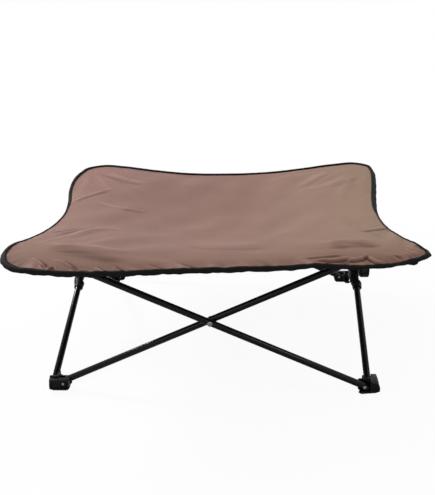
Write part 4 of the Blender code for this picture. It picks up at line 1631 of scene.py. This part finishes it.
@dataclass
class Wrinkles:
    """Tension folds, puckers, slack and droop of the sheet, as heights added to its smooth form."""

    seed: int = 11
    fan_depth: float = 0.0016
    fan_tip: float = 0.332
    fan_angles: tuple[float, ...] = (-0.62, -0.42, -0.2, 0.02, 0.2, 0.4, 0.6)
    pucker_depth: float = 0.0022
    pucker_count: int = 150
    pucker_front: Span = (0.05, 0.25)
    slack_depth: float = 0.0006
    slack_count: int = 9
    slack_x: Span = (0.2, 0.12)
    slack_y: Span = (0.22, 0.12)
    hem_droop: float = 0.004
    hem_tips: Span = (0.29, 0.05)
    hem_reach: float = 0.034
    hem_front: Span = (0.27, 0.05)
    right_droop: float = 0.0065
    right_start: Span = (0.17, 0.09)
    right_end: Span = (0.33, 0.03)
    right_narrow: Span = (0.26, 0.04)
    calm_within: float = 0.008
    flat_within: float = 0.005
    creases: tuple[Crease, ...] = tuple(Crease.from_row(*row) for row in CREASES)

    def fans(self, x: np.ndarray, y: np.ndarray) -> np.ndarray:
        """Long soft folds that fan out from the arm ends."""
        rng = np.random.default_rng(self.seed)
        total = np.zeros_like(x)
        for sx in (-1, 1):
            for sy in (-1, 1):
                dx, dy = sx * self.fan_tip - x, sy * self.fan_tip - y
                reach = np.hypot(dx, dy)
                angle = np.arctan2(dy * sy, dx * sx) - math.pi / 4
                for centre in self.fan_angles:
                    middle = centre + rng.uniform(-0.06, 0.06)
                    width = rng.uniform(0.04, 0.08)
                    depth = rng.uniform(0.4, 1.0) * self.fan_depth * (1 if rng.random() < 0.7 else -0.6)
                    start, stop = rng.uniform(0.03, 0.07), rng.uniform(0.22, 0.40)
                    run = smooth(reach, start, 0.06) * (1 - smooth(reach, stop * 0.5, stop * 0.6))
                    bend = 0.18 * (reach / 0.3) ** 2 * rng.uniform(-1, 1)
                    total += depth * run * bump(angle - middle - bend, width)
        return total

    def puckers(self, y: np.ndarray, inward: np.ndarray, travel: np.ndarray, length: float) -> np.ndarray:
        """Short puckers where the binding gathers the edge, strongest along the front.

        Args:
            y: Points front to rear.
            inward: Distance of each point inside the edge.
            travel: Place of the nearest edge point along the outline.
            length: Length of the outline.

        Returns:
            Heights to add.
        """
        rng = np.random.default_rng(self.seed + 5)
        total = np.zeros_like(y)
        for k in range(self.pucker_count):
            place = (k + rng.uniform(-0.4, 0.4)) * length / self.pucker_count
            width = rng.uniform(0.0032, 0.0075)
            depth = rng.uniform(0.25, 1.0) * self.pucker_depth * rng.choice((1.0, -0.8))
            lean = rng.uniform(0.1, 1.3)
            reach = rng.uniform(0.010, 0.030)
            away = (travel - place + lean * inward + length / 2) % length - length / 2
            fade = np.exp(-((inward / reach) ** 1.5))
            total += depth * fade * bump(away, width + 0.14 * inward)
        return total * (0.3 + 0.7 * smooth(-y, *self.pucker_front))

    def slack(self, x: np.ndarray, y: np.ndarray) -> np.ndarray:
        """Broad shallow waves across the middle."""
        rng = np.random.default_rng(self.seed + 9)
        total = np.zeros_like(x)
        for _ in range(self.slack_count):
            turn = rng.uniform(0, math.pi)
            wave = rng.uniform(0.09, 0.2)
            phase = rng.uniform(0, math.tau)
            bend = rng.uniform(-0.4, 0.4)
            u = x * math.cos(turn) + y * math.sin(turn)
            v = -x * math.sin(turn) + y * math.cos(turn)
            total += self.slack_depth * np.sin(math.tau * (u + bend * v * v) / wave + phase)
        return total * ((1 - smooth(np.abs(x), *self.slack_x)) * (1 - smooth(np.abs(y), *self.slack_y)))

    def droop(self, x: np.ndarray, y: np.ndarray, inward: np.ndarray) -> np.ndarray:
        """How far the hem hangs down along the front, most at the front right."""
        depth = self.hem_droop * (1 - smooth(np.abs(x), *self.hem_tips))
        depth += self.right_droop * smooth(x, *self.right_start) * (1 - 0.3 * smooth(x, *self.right_end))
        reach = self.hem_reach - 0.021 * smooth(x, *self.right_narrow)
        return depth * (smooth(-y, *self.hem_front) * (1 - smooth(inward / reach)))

    def heights(
        self, x: np.ndarray, y: np.ndarray, inward: np.ndarray, travel: np.ndarray, length: float
    ) -> tuple[np.ndarray, np.ndarray]:
        """All wrinkles together, calmer within the binding.

        Args:
            x: Points across.
            y: Points front to rear.
            inward: Distance of each point inside the edge.
            travel: Place of the nearest edge point along the outline.
            length: Length of the outline.

        Returns:
            Heights to add, and the painted highlight on ridges and painted shade in hollows for the cloth's
            colour.
        """
        fans = self.fans(x, y)
        puckers = self.puckers(y, inward, travel, length)
        total = fans + self.slack(x, y)
        # Painted shading: fans and puckers, like the creases, give a painted highlight on their ridges and
        # painted shade in their hollows
        tone = 0.3 * fans / self.fan_depth + 0.75 * puckers / self.pucker_depth
        for crease in self.creases:
            rise, shade = crease.heights(x, y)
            total += rise
            tone += shade
        total *= 0.35 + 0.65 * smooth(inward / self.calm_within)
        total += puckers * (0.3 + 0.7 * smooth(inward / self.flat_within))
        return total - self.droop(x, y, inward), np.clip(tone, -1.0, 1.0)


EdgePoint = tuple[Vector, Vector, Vector, float]
UP = Vector((0, 0, 1))


@dataclass(frozen=True)
class Binding:
    """The tape sewn round the sheet's edge, and its stitches."""

    tape: float = 0.0011
    gap: float = 0.0008
    band: float = 0.0068
    band_narrow: Span = (0.05, 0.25)
    lip: float = 0.0045
    lip_flank: Span = (0.28, 0.02)
    left_waist: float = 0.12
    right_waist: float = 0.17
    waist_half: float = 0.18
    front: Span = (0.24, 0.06)
    left_tip: Span = (0.29, 0.04)
    right_tip: Span = (0.25, 0.10)
    right_flank: Span = (0.24, 0.08)
    flank_rear: Span = (-0.05, 0.12)
    rear_edge: Span = (0.33, 0.03)
    rear_roll: float = 0.0024
    roll_rear: Span = (0.10, 0.15)
    tip_roll: float = 0.0010
    roll_tip: Span = (0.31, 0.03)
    roll_front: Span = (0.26, 0.04)
    waves: tuple[Span, ...] = ((0.0005, 61), (0.0003, 143))
    stitch_start: float = 0.0015
    stitch_pitch: float = 0.0032
    stitch_half: float = 0.0011
    thread_radius: float = 0.00028
    thread_sides: int = 5

    @property
    def inset(self) -> float:
        """Outline to the edge of the cloth inside the binding."""
        return self.tape + self.gap

    def lean(self, point: Vector) -> float:
        """How far the band tips outwards from hanging straight down, in radians."""
        rear_right = ramp(point.x, *self.right_flank) * ramp(point.y, *self.flank_rear)
        rear_right *= 1 - 0.6 * ramp(point.y, *self.rear_edge)
        front = ramp(-point.y, *self.front)
        left_tip = ramp(-point.x, *self.left_tip) * front
        right_tip = ramp(point.x, *self.right_tip) * front
        return 0.2 + 0.5 * rear_right + 0.35 * left_tip + 0.85 * right_tip + 0.1 * front

    def band_width(self, point: Vector) -> float:
        """Height of the tape's hanging face, least at the front right."""
        return self.band * (1 - 0.4 * (ramp(-point.y, *self.front) * ramp(point.x, *self.band_narrow)))

    def roll(self, point: Vector) -> float:
        """How much thicker the folded tape stands up along the rear and at the tips, in metres."""
        tip = ramp(abs(point.x), *self.roll_tip) * ramp(-point.y, *self.roll_front)
        return self.rear_roll * ramp(point.y, *self.roll_rear) + self.tip_roll * tip

    def lip_width(self, point: Vector) -> float:
        """Width of tape over the cloth, drawn under along the flanks."""
        waist = self.left_waist if point.x < 0 else self.right_waist
        near = 1 - abs(point.y + waist) / self.waist_half
        return self.lip * (1 - 0.72 * (ramp(abs(point.x), *self.lip_flank) * ramp(near, 0.0, 0.4)))

    def section(self, frame_point: EdgePoint) -> list[Vector]:
        """Section at an outline point, from the tape's hanging face round to its inner one."""
        point, out, ahead, place = frame_point
        wave = sum(height * math.sin(place * math.tau * count) for height, count in self.waves)
        lean = self.lean(point)
        down = (out * math.sin(lean) - UP * math.cos(lean)).normalized()
        face = ahead.cross(down).normalized()
        if face.dot(out) < 0:
            face = -face
        tape, lip, roll, band = self.tape, self.lip_width(point), self.roll(point), self.band_width(point)
        fold = point + out * self.inset + UP * 0.0006
        end = fold + down * (band + wave)
        wave *= 0.6
        return [
            end - face * tape,
            end - face * tape * 0.2 + down * 0.0004,
            end + face * 0.0002,
            fold + down * band * 0.72 + face * 0.0008,
            fold + down * band * 0.56 + face * 0.0004,
            fold + down * band * 0.40 + face * 0.0009,
            fold + down * 0.0014 + face * 0.0005,
            fold + UP * (0.0003 + roll * 0.5) + out * roll * 0.2,
            fold + UP * (0.0009 + roll) - out * 0.0009,
            point - out * lip * 0.3 + UP * (0.0016 + roll + wave),
            point - out * lip * 0.7 + UP * (0.0014 + roll * 0.6 + wave),
            point - out * lip + UP * (0.0008 + wave),
            point - out * lip * 0.98 + UP * 0.0002,
            point - out * lip * 0.4 + UP * 0.0004,
            point + out * self.gap + UP * 0.0001,
            fold + down * band * 0.5 - face * tape,
        ]

    def stitch(self, a: EdgePoint, b: EdgePoint, share: float) -> list[list[Vector]]:
        """Sections of one stitch, that share of the way from one outline point to the next."""
        here = a[0].lerp(b[0], share)
        out = a[1].lerp(b[1], share).normalized()
        ahead = (b[0] - a[0]).normalized()
        lip, roll = self.lip_width(here), self.roll(here)
        centre = here - out * lip * 0.66 + UP * (0.00168 + roll * 0.66)
        r = self.thread_radius
        turns = [math.tau * i / self.thread_sides for i in range(self.thread_sides)]
        sections = []
        for step, rise in ((-self.stitch_half, -0.0003), (0.0, 0.0002), (self.stitch_half, -0.0003)):
            middle = centre + ahead * step + UP * rise
            sections.append([middle + out * r * math.cos(t) + UP * (r * math.sin(t)) for t in turns])
        return sections

    def tape_piece(self, name: str, runs: list[list[EdgePoint]]) -> bpy.types.Object:
        """Binding of one strip: a tape folded over the edge, with a rounded fold and a gathered face."""
        ob = new_object(name, *lofts([self.section(frame_point) for frame_point in run] for run in runs))
        shade_smooth(ob.data)
        ob.data.set_sharp_from_angle(angle=math.radians(70))
        return ob

    def thread_piece(self, name: str, runs: list[list[EdgePoint]]) -> bpy.types.Object:
        """Row of stitches along the binding's lip, about three millimetres apart."""
        stitches = []
        for run in runs:
            at = self.stitch_start
            for a, b in zip(run, run[1:]):
                length = (b[0] - a[0]).length
                while at < length:
                    stitches.append(self.stitch(a, b, at / length))
                    at += self.stitch_pitch
                at -= length
        ob = new_object(name, *lofts(stitches))
        shade_smooth(ob.data)
        return ob


@dataclass
class ClothSheet:
    """The sheet in its four strips, with its binding and stitching."""

    finishes: Finishes
    form: SheetForm = field(default_factory=SheetForm)
    wrinkles: Wrinkles = field(default_factory=Wrinkles)
    binding: Binding = field(default_factory=Binding)
    spacing: float = 0.0062
    fine_spacing: float = 0.0034
    fine_below: float = -0.285
    far: float = 0.5
    grid_half: float = 0.496
    sharp_width: float = 0.007
    rail_step: float = 0.0028
    rail_cell: float = 0.0011
    rail_gap: float = 0.0012
    edge_spacing: float = 0.0030
    thickness: float = 0.0008
    fold_line: float = 0.250
    keep: float = 0.407
    anchor_y: float = -0.349

    def strips(self) -> list[tuple[str, str, float, float, tuple[str, ...]]]:
        """Name, body, left and right limit of each strip, and the nodes that it replaces."""
        limits = (-0.6, -self.fold_line, 0.0, self.fold_line, 0.6)
        strips = (
            ("left_border", "front_left_top", ("binding_left",)),
            ("left_half", "sheet_left", ("binding_front_left", "binding_rear_left")),
            ("right_half", "sheet_right", ("binding_front_right", "binding_rear_right")),
            ("right_border", "front_right_top", ("binding_right",)),
        )
        return [
            (name, body, low, high, (f"sheet_{name}", *bindings))
            for (name, body, bindings), low, high in zip(strips, limits, limits[1:])
        ]

    def grid(self, spacing: float, low: float, high: float) -> np.ndarray:
        """Rows of evenly spaced points, every other row shifted half a step, between two values of Y."""
        step = spacing * math.sqrt(3) / 2
        rows = []
        for r in range(int(low / step) - 1, int(high / step) + 2):
            if not low < r * step <= high:
                continue
            xs = np.arange(-self.grid_half // spacing, self.grid_half // spacing + 1) * spacing
            rows.append(np.column_stack([xs + 0.5 * spacing * (r % 2), np.full(len(xs), r * step)]))
        return np.vstack(rows)

    def flat_points(self) -> tuple[np.ndarray, np.ndarray, np.ndarray]:
        """Triangle mesh of the sheet seen from above.

        Returns:
            Points, triangles and the outline's points in order.
        """
        outline = self.form.outline(self.edge_spacing)
        tangent = np.roll(outline, -1, axis=0) - np.roll(outline, 1, axis=0)
        tangent /= np.linalg.norm(tangent, axis=1)[:, None]
        edge = outline - np.stack([tangent[:, 1], -tangent[:, 0]], axis=1) * self.binding.inset
        n = len(edge)
        segments = [(i, (i + 1) % n) for i in range(n)]
        lines = (-self.fold_line, 0.0, self.fold_line)
        sharp = [crease for crease in self.wrinkles.creases if crease.width < self.sharp_width]
        rails = self.thinned(np.vstack([crease.rails(self.rail_step) for crease in sharp]), self.rail_cell)
        rails = rails[inside(rails, edge)]
        rails = rails[distance_to(rails, edge)[0] > self.rail_gap]
        for line in lines:
            rails = rails[np.abs(rails[:, 0] - line) > self.rail_gap]
        flat = [edge, rails]
        coarse = (self.spacing, self.fine_below, self.far)
        fine = (self.fine_spacing, -self.far, self.fine_below)
        for spacing, low, high in (coarse, fine):
            pts = self.grid(spacing, low, high)
            pts = pts[inside(pts, edge)]
            keep = distance_to(pts, edge)[0] > min(spacing, self.edge_spacing) * 0.6
            for line in lines:
                keep &= np.abs(pts[:, 0] - line) > spacing * 0.4
            for crease in sharp:
                path = crease.line()[0]
                near = np.linalg.norm(pts[:, None, :] - path[None, :, :], axis=2).min(axis=1)
                keep &= near > 2.6 * crease.width
            flat.append(pts[keep])
        verts = [Vector(p) for p in np.vstack(flat).tolist()]
        for line in lines:
            first = len(verts)
            stops = self.line_stops(edge, line)
            verts += [Vector((line, float(y))) for y in stops]
            segments += [(first + i, first + i + 1) for i in range(len(stops) - 1)]
        out, _, tris, *_ = delaunay_2d_cdt(verts, segments, [list(range(n))], 1, 1e-7)
        return np.array([tuple(v) for v in out]), np.array([t for t in tris if len(t) == 3]), edge

    def line_stops(self, edge: np.ndarray, line: float) -> np.ndarray:
        """Mesh points from the front edge to the rear one along a line between two strips."""
        found = []
        for a, b in zip(edge, np.roll(edge, -1, axis=0)):
            if (a[0] - line) * (b[0] - line) <= 0 and a[0] != b[0]:
                found.append(a[1] + (b[1] - a[1]) * (line - a[0]) / (b[0] - a[0]))
        front, rear = float(min(found)), float(max(found))
        fine = np.arange(front, self.fine_below, self.fine_spacing)
        stops = np.concatenate([fine, np.arange(self.fine_below, rear, self.spacing)])
        if rear - stops[-1] < self.spacing * 0.3:
            stops = stops[:-1]
        stops = np.append(stops, rear)
        stops[0] += INWARDS
        stops[-1] -= INWARDS
        return stops

    @staticmethod
    def thinned(pts: np.ndarray, cell: float) -> np.ndarray:
        """Points with at most one left in each small square."""
        _, first = np.unique(np.floor(pts / cell).astype(int), axis=0, return_index=True)
        return pts[np.sort(first)]

    def surface(self) -> tuple[np.ndarray, np.ndarray, np.ndarray, np.ndarray, np.ndarray]:
        """Wrinkled top of the sheet: points, triangles, outline, outline's heights and the painted fold
        shading of the points.
        """
        flat, tris, edge = self.flat_points()

        def level(pts: np.ndarray) -> tuple[np.ndarray, np.ndarray]:
            """Height and painted fold shading of the wrinkled sheet at some points."""
            x, y = pts[:, 0], pts[:, 1]
            rise, tone = self.wrinkles.heights(x, y, *distance_to(pts, edge))
            return self.form.height(x, y) + rise, tone

        height, tone = level(flat)
        return np.column_stack([flat, height]), tris, edge, level(edge)[0], tone

    def build(self) -> None:
        points, tris, edge, edge_z, tone = self.surface()
        normals = vertex_normals(points, tris)
        frames = self.edge_frames(edge, edge_z)
        middle = points[tris].mean(axis=1)[:, 0]
        for name, body, low, high, nodes in self.strips():
            chosen = tris[(middle > low) & (middle < high)]
            runs = self.runs(frames, low, high)
            cloth = self.cloth_piece(f"cloth_{name}", points, normals, tone, chosen)
            tape = self.binding.tape_piece(f"tape_{name}", runs)
            thread = self.binding.thread_piece(f"thread_{name}", runs)
            dress(cloth, self.finishes.cloth, body, "cloth", nodes[0])
            dress(tape, self.finishes.tape, body, "webbing", *nodes[1:])
            dress(thread, self.finishes.thread, body, "webbing")
            for ob in (cloth, tape, thread):
                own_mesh(ob)

    def cloth_piece(
        self, name: str, points: np.ndarray, normals: np.ndarray, tone: np.ndarray, tris: np.ndarray
    ) -> bpy.types.Object:
        """One strip as a thin closed piece with the whole sheet's smooth normals.

        Args:
            name: Name of the piece.
            points: Points of the whole sheet's top.
            normals: Their upward normals.
            tone: Painted fold shading at each point, a painted highlight above 0 and painted shade below 0.
            tris: Triangles of this strip.

        Returns:
            The piece.
        """
        used = np.unique(tris)
        index = np.zeros(len(points), dtype=int)
        index[used] = np.arange(len(used))
        local = index[tris]
        top = points[used]
        below = top - normals[used] * self.thickness
        n = len(used)
        edges = {(int(u), int(v)) for a, b, c in local for u, v in ((a, b), (b, c), (c, a))}
        rim = sorted((u, v) for (u, v) in edges if (v, u) not in edges)
        faces = [tuple(int(i) for i in t) for t in local]
        faces += [(int(c) + n, int(b) + n, int(a) + n) for a, b, c in local]
        faces += [(v, u, u + n, v + n) for u, v in rim]
        mesh = bpy.data.meshes.new(name)
        mesh.from_pydata(np.vstack([top, below]).tolist(), [], faces)
        shade_smooth(mesh)
        mesh.update()
        # Painted shading of the folds for the cloth's colour, weaker and reversed on the underside
        shade = mesh.attributes.new("fold_tone", "FLOAT", "POINT")
        shade.data.foreach_set("value", np.concatenate([tone[used], -0.5 * tone[used]]).astype(np.float32))
        both = np.vstack([normals[used], -normals[used]])
        loops = np.empty(len(mesh.loops), dtype=np.int32)
        mesh.loops.foreach_get("vertex_index", loops)
        split = both[loops]
        for poly in mesh.polygons[2 * len(local) :]:
            split[poly.loop_start : poly.loop_start + poly.loop_total] = tuple(poly.normal)
        mesh.normals_split_custom_set(split.tolist())
        return link_object(name, mesh)

    @staticmethod
    def edge_frames(edge: np.ndarray, edge_z: np.ndarray) -> list[EdgePoint]:
        """Outline points with their outward and forward directions and their place from 0 to 1."""
        n = len(edge)
        frames = []
        for i in range(n):
            back, ahead = edge[i - 1], edge[(i + 1) % n]
            run = np.array([*(ahead - back), edge_z[(i + 1) % n] - edge_z[i - 1]])
            run /= np.linalg.norm(run)
            out = np.array([run[1], -run[0], 0.0])
            out /= np.linalg.norm(out)
            frames.append((Vector((*edge[i], edge_z[i])), Vector(out), Vector(run), float(i) / n))
        return frames

    def runs(self, frames: list[EdgePoint], low: float, high: float) -> list[list[EdgePoint]]:
        """Splits the outline into the runs that lie between two limits, ended exactly on them."""
        n = len(frames)
        within = [low <= f[0].x <= high for f in frames]
        start = next(i for i in range(n) if within[i] and not within[i - 1])
        found: list[list[EdgePoint]] = []
        run: list[EdgePoint] = []
        for k in range(n + 1):
            i = (start + k) % n
            here, before = frames[i], frames[i - 1]
            if within[i] and not within[i - 1] and k < n:
                run = [self.cut_frame(before, here, low, high)]
            if within[i] and run:
                run.append(here)
            if not within[i] and within[i - 1] and run:
                run.append(self.cut_frame(before, here, low, high))
                found.append(run)
                run = []
        return found

    @staticmethod
    def cut_frame(a: EdgePoint, b: EdgePoint, low: float, high: float) -> EdgePoint:
        """Outline point where the step from one point to the next crosses a limit."""
        line = low if (a[0].x - low) * (b[0].x - low) <= 0 else high
        t = (line - a[0].x) / (b[0].x - a[0].x)
        return (a[0].lerp(b[0], t), a[1].lerp(b[1], t).normalized(), a[2].lerp(b[2], t).normalized(), a[3])


def inside(pts: np.ndarray, edge: np.ndarray) -> np.ndarray:
    """Which points lie inside the outline."""
    found = np.zeros(len(pts), dtype=bool)
    for a, b in zip(edge, np.roll(edge, -1, axis=0)):
        spans = (a[1] > pts[:, 1]) != (b[1] > pts[:, 1])
        if not spans.any():
            continue
        cross = a[0] + (pts[:, 1] - a[1]) * (b[0] - a[0]) / (b[1] - a[1])
        found ^= spans & (pts[:, 0] < cross)
    return found


def distance_to(pts: np.ndarray, edge: np.ndarray) -> tuple[np.ndarray, np.ndarray, float]:
    """Distance to the edge and place along it.

    Args:
        pts: Points seen from above.
        edge: Outline's points in order.

    Returns:
        Distances, places along the outline, and its length.
    """
    closed = np.vstack([edge, edge[:1]])
    travelled = distances_along(closed)
    gap, place, _ = nearest(pts, closed, travelled)
    return gap, place, float(travelled[-1])


def vertex_normals(points: np.ndarray, tris: np.ndarray) -> np.ndarray:
    """Area-weighted upward normals of a triangle mesh's points."""
    corner = points[tris]
    face = np.cross(corner[:, 1] - corner[:, 0], corner[:, 2] - corner[:, 0])
    face[face[:, 2] < 0] *= -1
    normals = np.zeros_like(points)
    for k in range(3):
        np.add.at(normals, tris[:, k], face)
    return normals / np.maximum(np.linalg.norm(normals, axis=1), 1e-12)[:, None]


# Studio


WHITE = (1.0, 1.0, 1.0, 1.0)


@dataclass(frozen=True)
class PhotoCamera:
    """Camera at the photograph's viewing angle."""

    place: tuple[float, float, float] = (0.1083, -1.5516, 0.6789)
    pitch: float = math.radians(17.89)
    yaw: float = math.radians(4.17)
    roll: float = math.radians(-1.46)
    focal_pixels: float = 794.0
    frame_height: float = 495.0
    sensor_height: float = 36.0

    def build(self) -> None:
        """Makes the camera and sets it as the scene's own."""
        data = bpy.data.cameras.new("photo_camera")
        data.sensor_fit = "VERTICAL"
        data.sensor_height = self.sensor_height
        data.lens = self.focal_pixels * self.sensor_height / self.frame_height
        cam = link_object("photo_camera", data)
        level = math.cos(self.pitch)
        forward = Vector((-math.sin(self.yaw) * level, math.cos(self.yaw) * level, -math.sin(self.pitch)))
        right = Vector((math.cos(self.yaw), math.sin(self.yaw), 0.0))
        right = right * math.cos(self.roll) + right.cross(forward) * math.sin(self.roll)
        matrix = Matrix((right, right.cross(forward), -forward)).transposed().to_4x4()
        matrix.translation = Vector(self.place)
        cam.matrix_world = matrix
        bpy.context.scene.camera = cam


@dataclass(frozen=True)
class SoftBox:
    """A large soft lamp aimed at the bed."""

    name: str
    place: tuple[float, float, float]
    size: tuple[float, float]
    power: float
    target: tuple[float, float, float] = (0.0, 0.0, 0.15)

    def build(self) -> None:
        """Makes the lamp."""
        data = bpy.data.lights.new(self.name, "AREA")
        data.shape = "RECTANGLE"
        data.size, data.size_y = self.size
        data.energy = self.power
        ob = link_object(self.name, data)
        ob.location = self.place
        aim = Vector(self.target) - Vector(self.place)
        ob.rotation_euler = aim.to_track_quat("-Z", "Y").to_euler()


@dataclass
class Studio:
    """Pale floor, white surroundings and soft light."""

    floor_size: float = 9.0
    floor_level: float = -0.0006
    floor_colour: Colour = (0.9, 0.9, 0.9)
    floor_glow: tuple[float, float] = (0.94, 1.0)
    floor_fade: tuple[float, float] = (0.3, 1.1)
    ambient: float = 0.32
    lamps: tuple[SoftBox, ...] = (
        SoftBox("rear_left_lamp", (-1.75, 1.05, 1.6), (0.5, 0.5), 50.0),
        SoftBox("front_lamp", (-1.3, -2.2, 1.7), (1.6, 1.2), 11.0),
        SoftBox("right_lamp", (1.7, -1.2, 1.75), (0.5, 0.5), 10.5),
    )

    def world(self) -> None:
        """White surroundings that light the bed softly."""
        world = bpy.data.worlds.new("white_studio")
        world.use_nodes = True
        nodes = Shading(world.node_tree)
        path = nodes.node("LightPath").outputs
        seen = nodes.calc("MAXIMUM", path["Is Camera Ray"], path["Is Glossy Ray"])
        seen = nodes.calc("MAXIMUM", seen, path["Is Transmission Ray"])
        background = nodes.tree.nodes["Background"].inputs
        nodes.join(WHITE, background["Color"])
        nodes.join(nodes.spread(seen, 0.0, 1.0, self.ambient, 1.0), background["Strength"])
        bpy.context.scene.world = world

    def floor(self) -> None:
        """Round pale floor that fades into the white surroundings."""
        bm = bmesh.new()
        bmesh.ops.create_circle(bm, cap_ends=True, segments=96, radius=self.floor_size)
        mesh = bpy.data.meshes.new("pale_floor")
        bm.to_mesh(mesh)
        bm.free()
        ob = link_object("pale_floor", mesh)
        ob.location.z = self.floor_level
        nodes = Surface("pale_floor")
        nodes.join(tinted(self.floor_colour), nodes.shader.inputs["Base Color"])
        nodes.join(0.9, nodes.shader.inputs["Roughness"])
        glow = nodes.node("Emission", {"Color": WHITE, "Strength": 1.0})
        away = nodes.node("VectorMath", {0: nodes.place()}, operation="LENGTH").outputs["Value"]
        far = nodes.spread(away, *self.floor_fade, *self.floor_glow)
        seen = nodes.calc("MULTIPLY", nodes.node("LightPath").outputs["Is Camera Ray"], far)
        blend_node = nodes.node("MixShader", {0: seen, 1: nodes.shader.outputs[0], 2: glow.outputs[0]})
        out = next(node for node in nodes.tree.nodes if node.type == "OUTPUT_MATERIAL")
        nodes.join(blend_node.outputs[0], out.inputs["Surface"])
        mesh.materials.append(nodes.material)

    def build(self) -> None:
        """Sets up the floor, the surroundings, the lamps and the camera."""
        self.world()
        self.floor()
        for lamp in self.lamps:
            lamp.build()
        PhotoCamera().build()
        bpy.context.scene.view_settings.view_transform = "Standard"


def main() -> None:
    """Builds the whole bed and its studio."""
    logging.basicConfig(level=logging.INFO, format="%(name)s: %(message)s")
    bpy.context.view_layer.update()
    Studio().build()
    finishes = Finishes()
    tubes = CrossedTubes(finishes)
    tubes.build()
    MiddleRivets(finishes).build()
    CrossingSleeves(finishes, tubes).build()
    arms = CornerArms(finishes)
    arms.build()
    CornerBrackets(finishes, arms).build()
    ClothSheet(finishes).build()


if __name__ == "__main__":
    main()
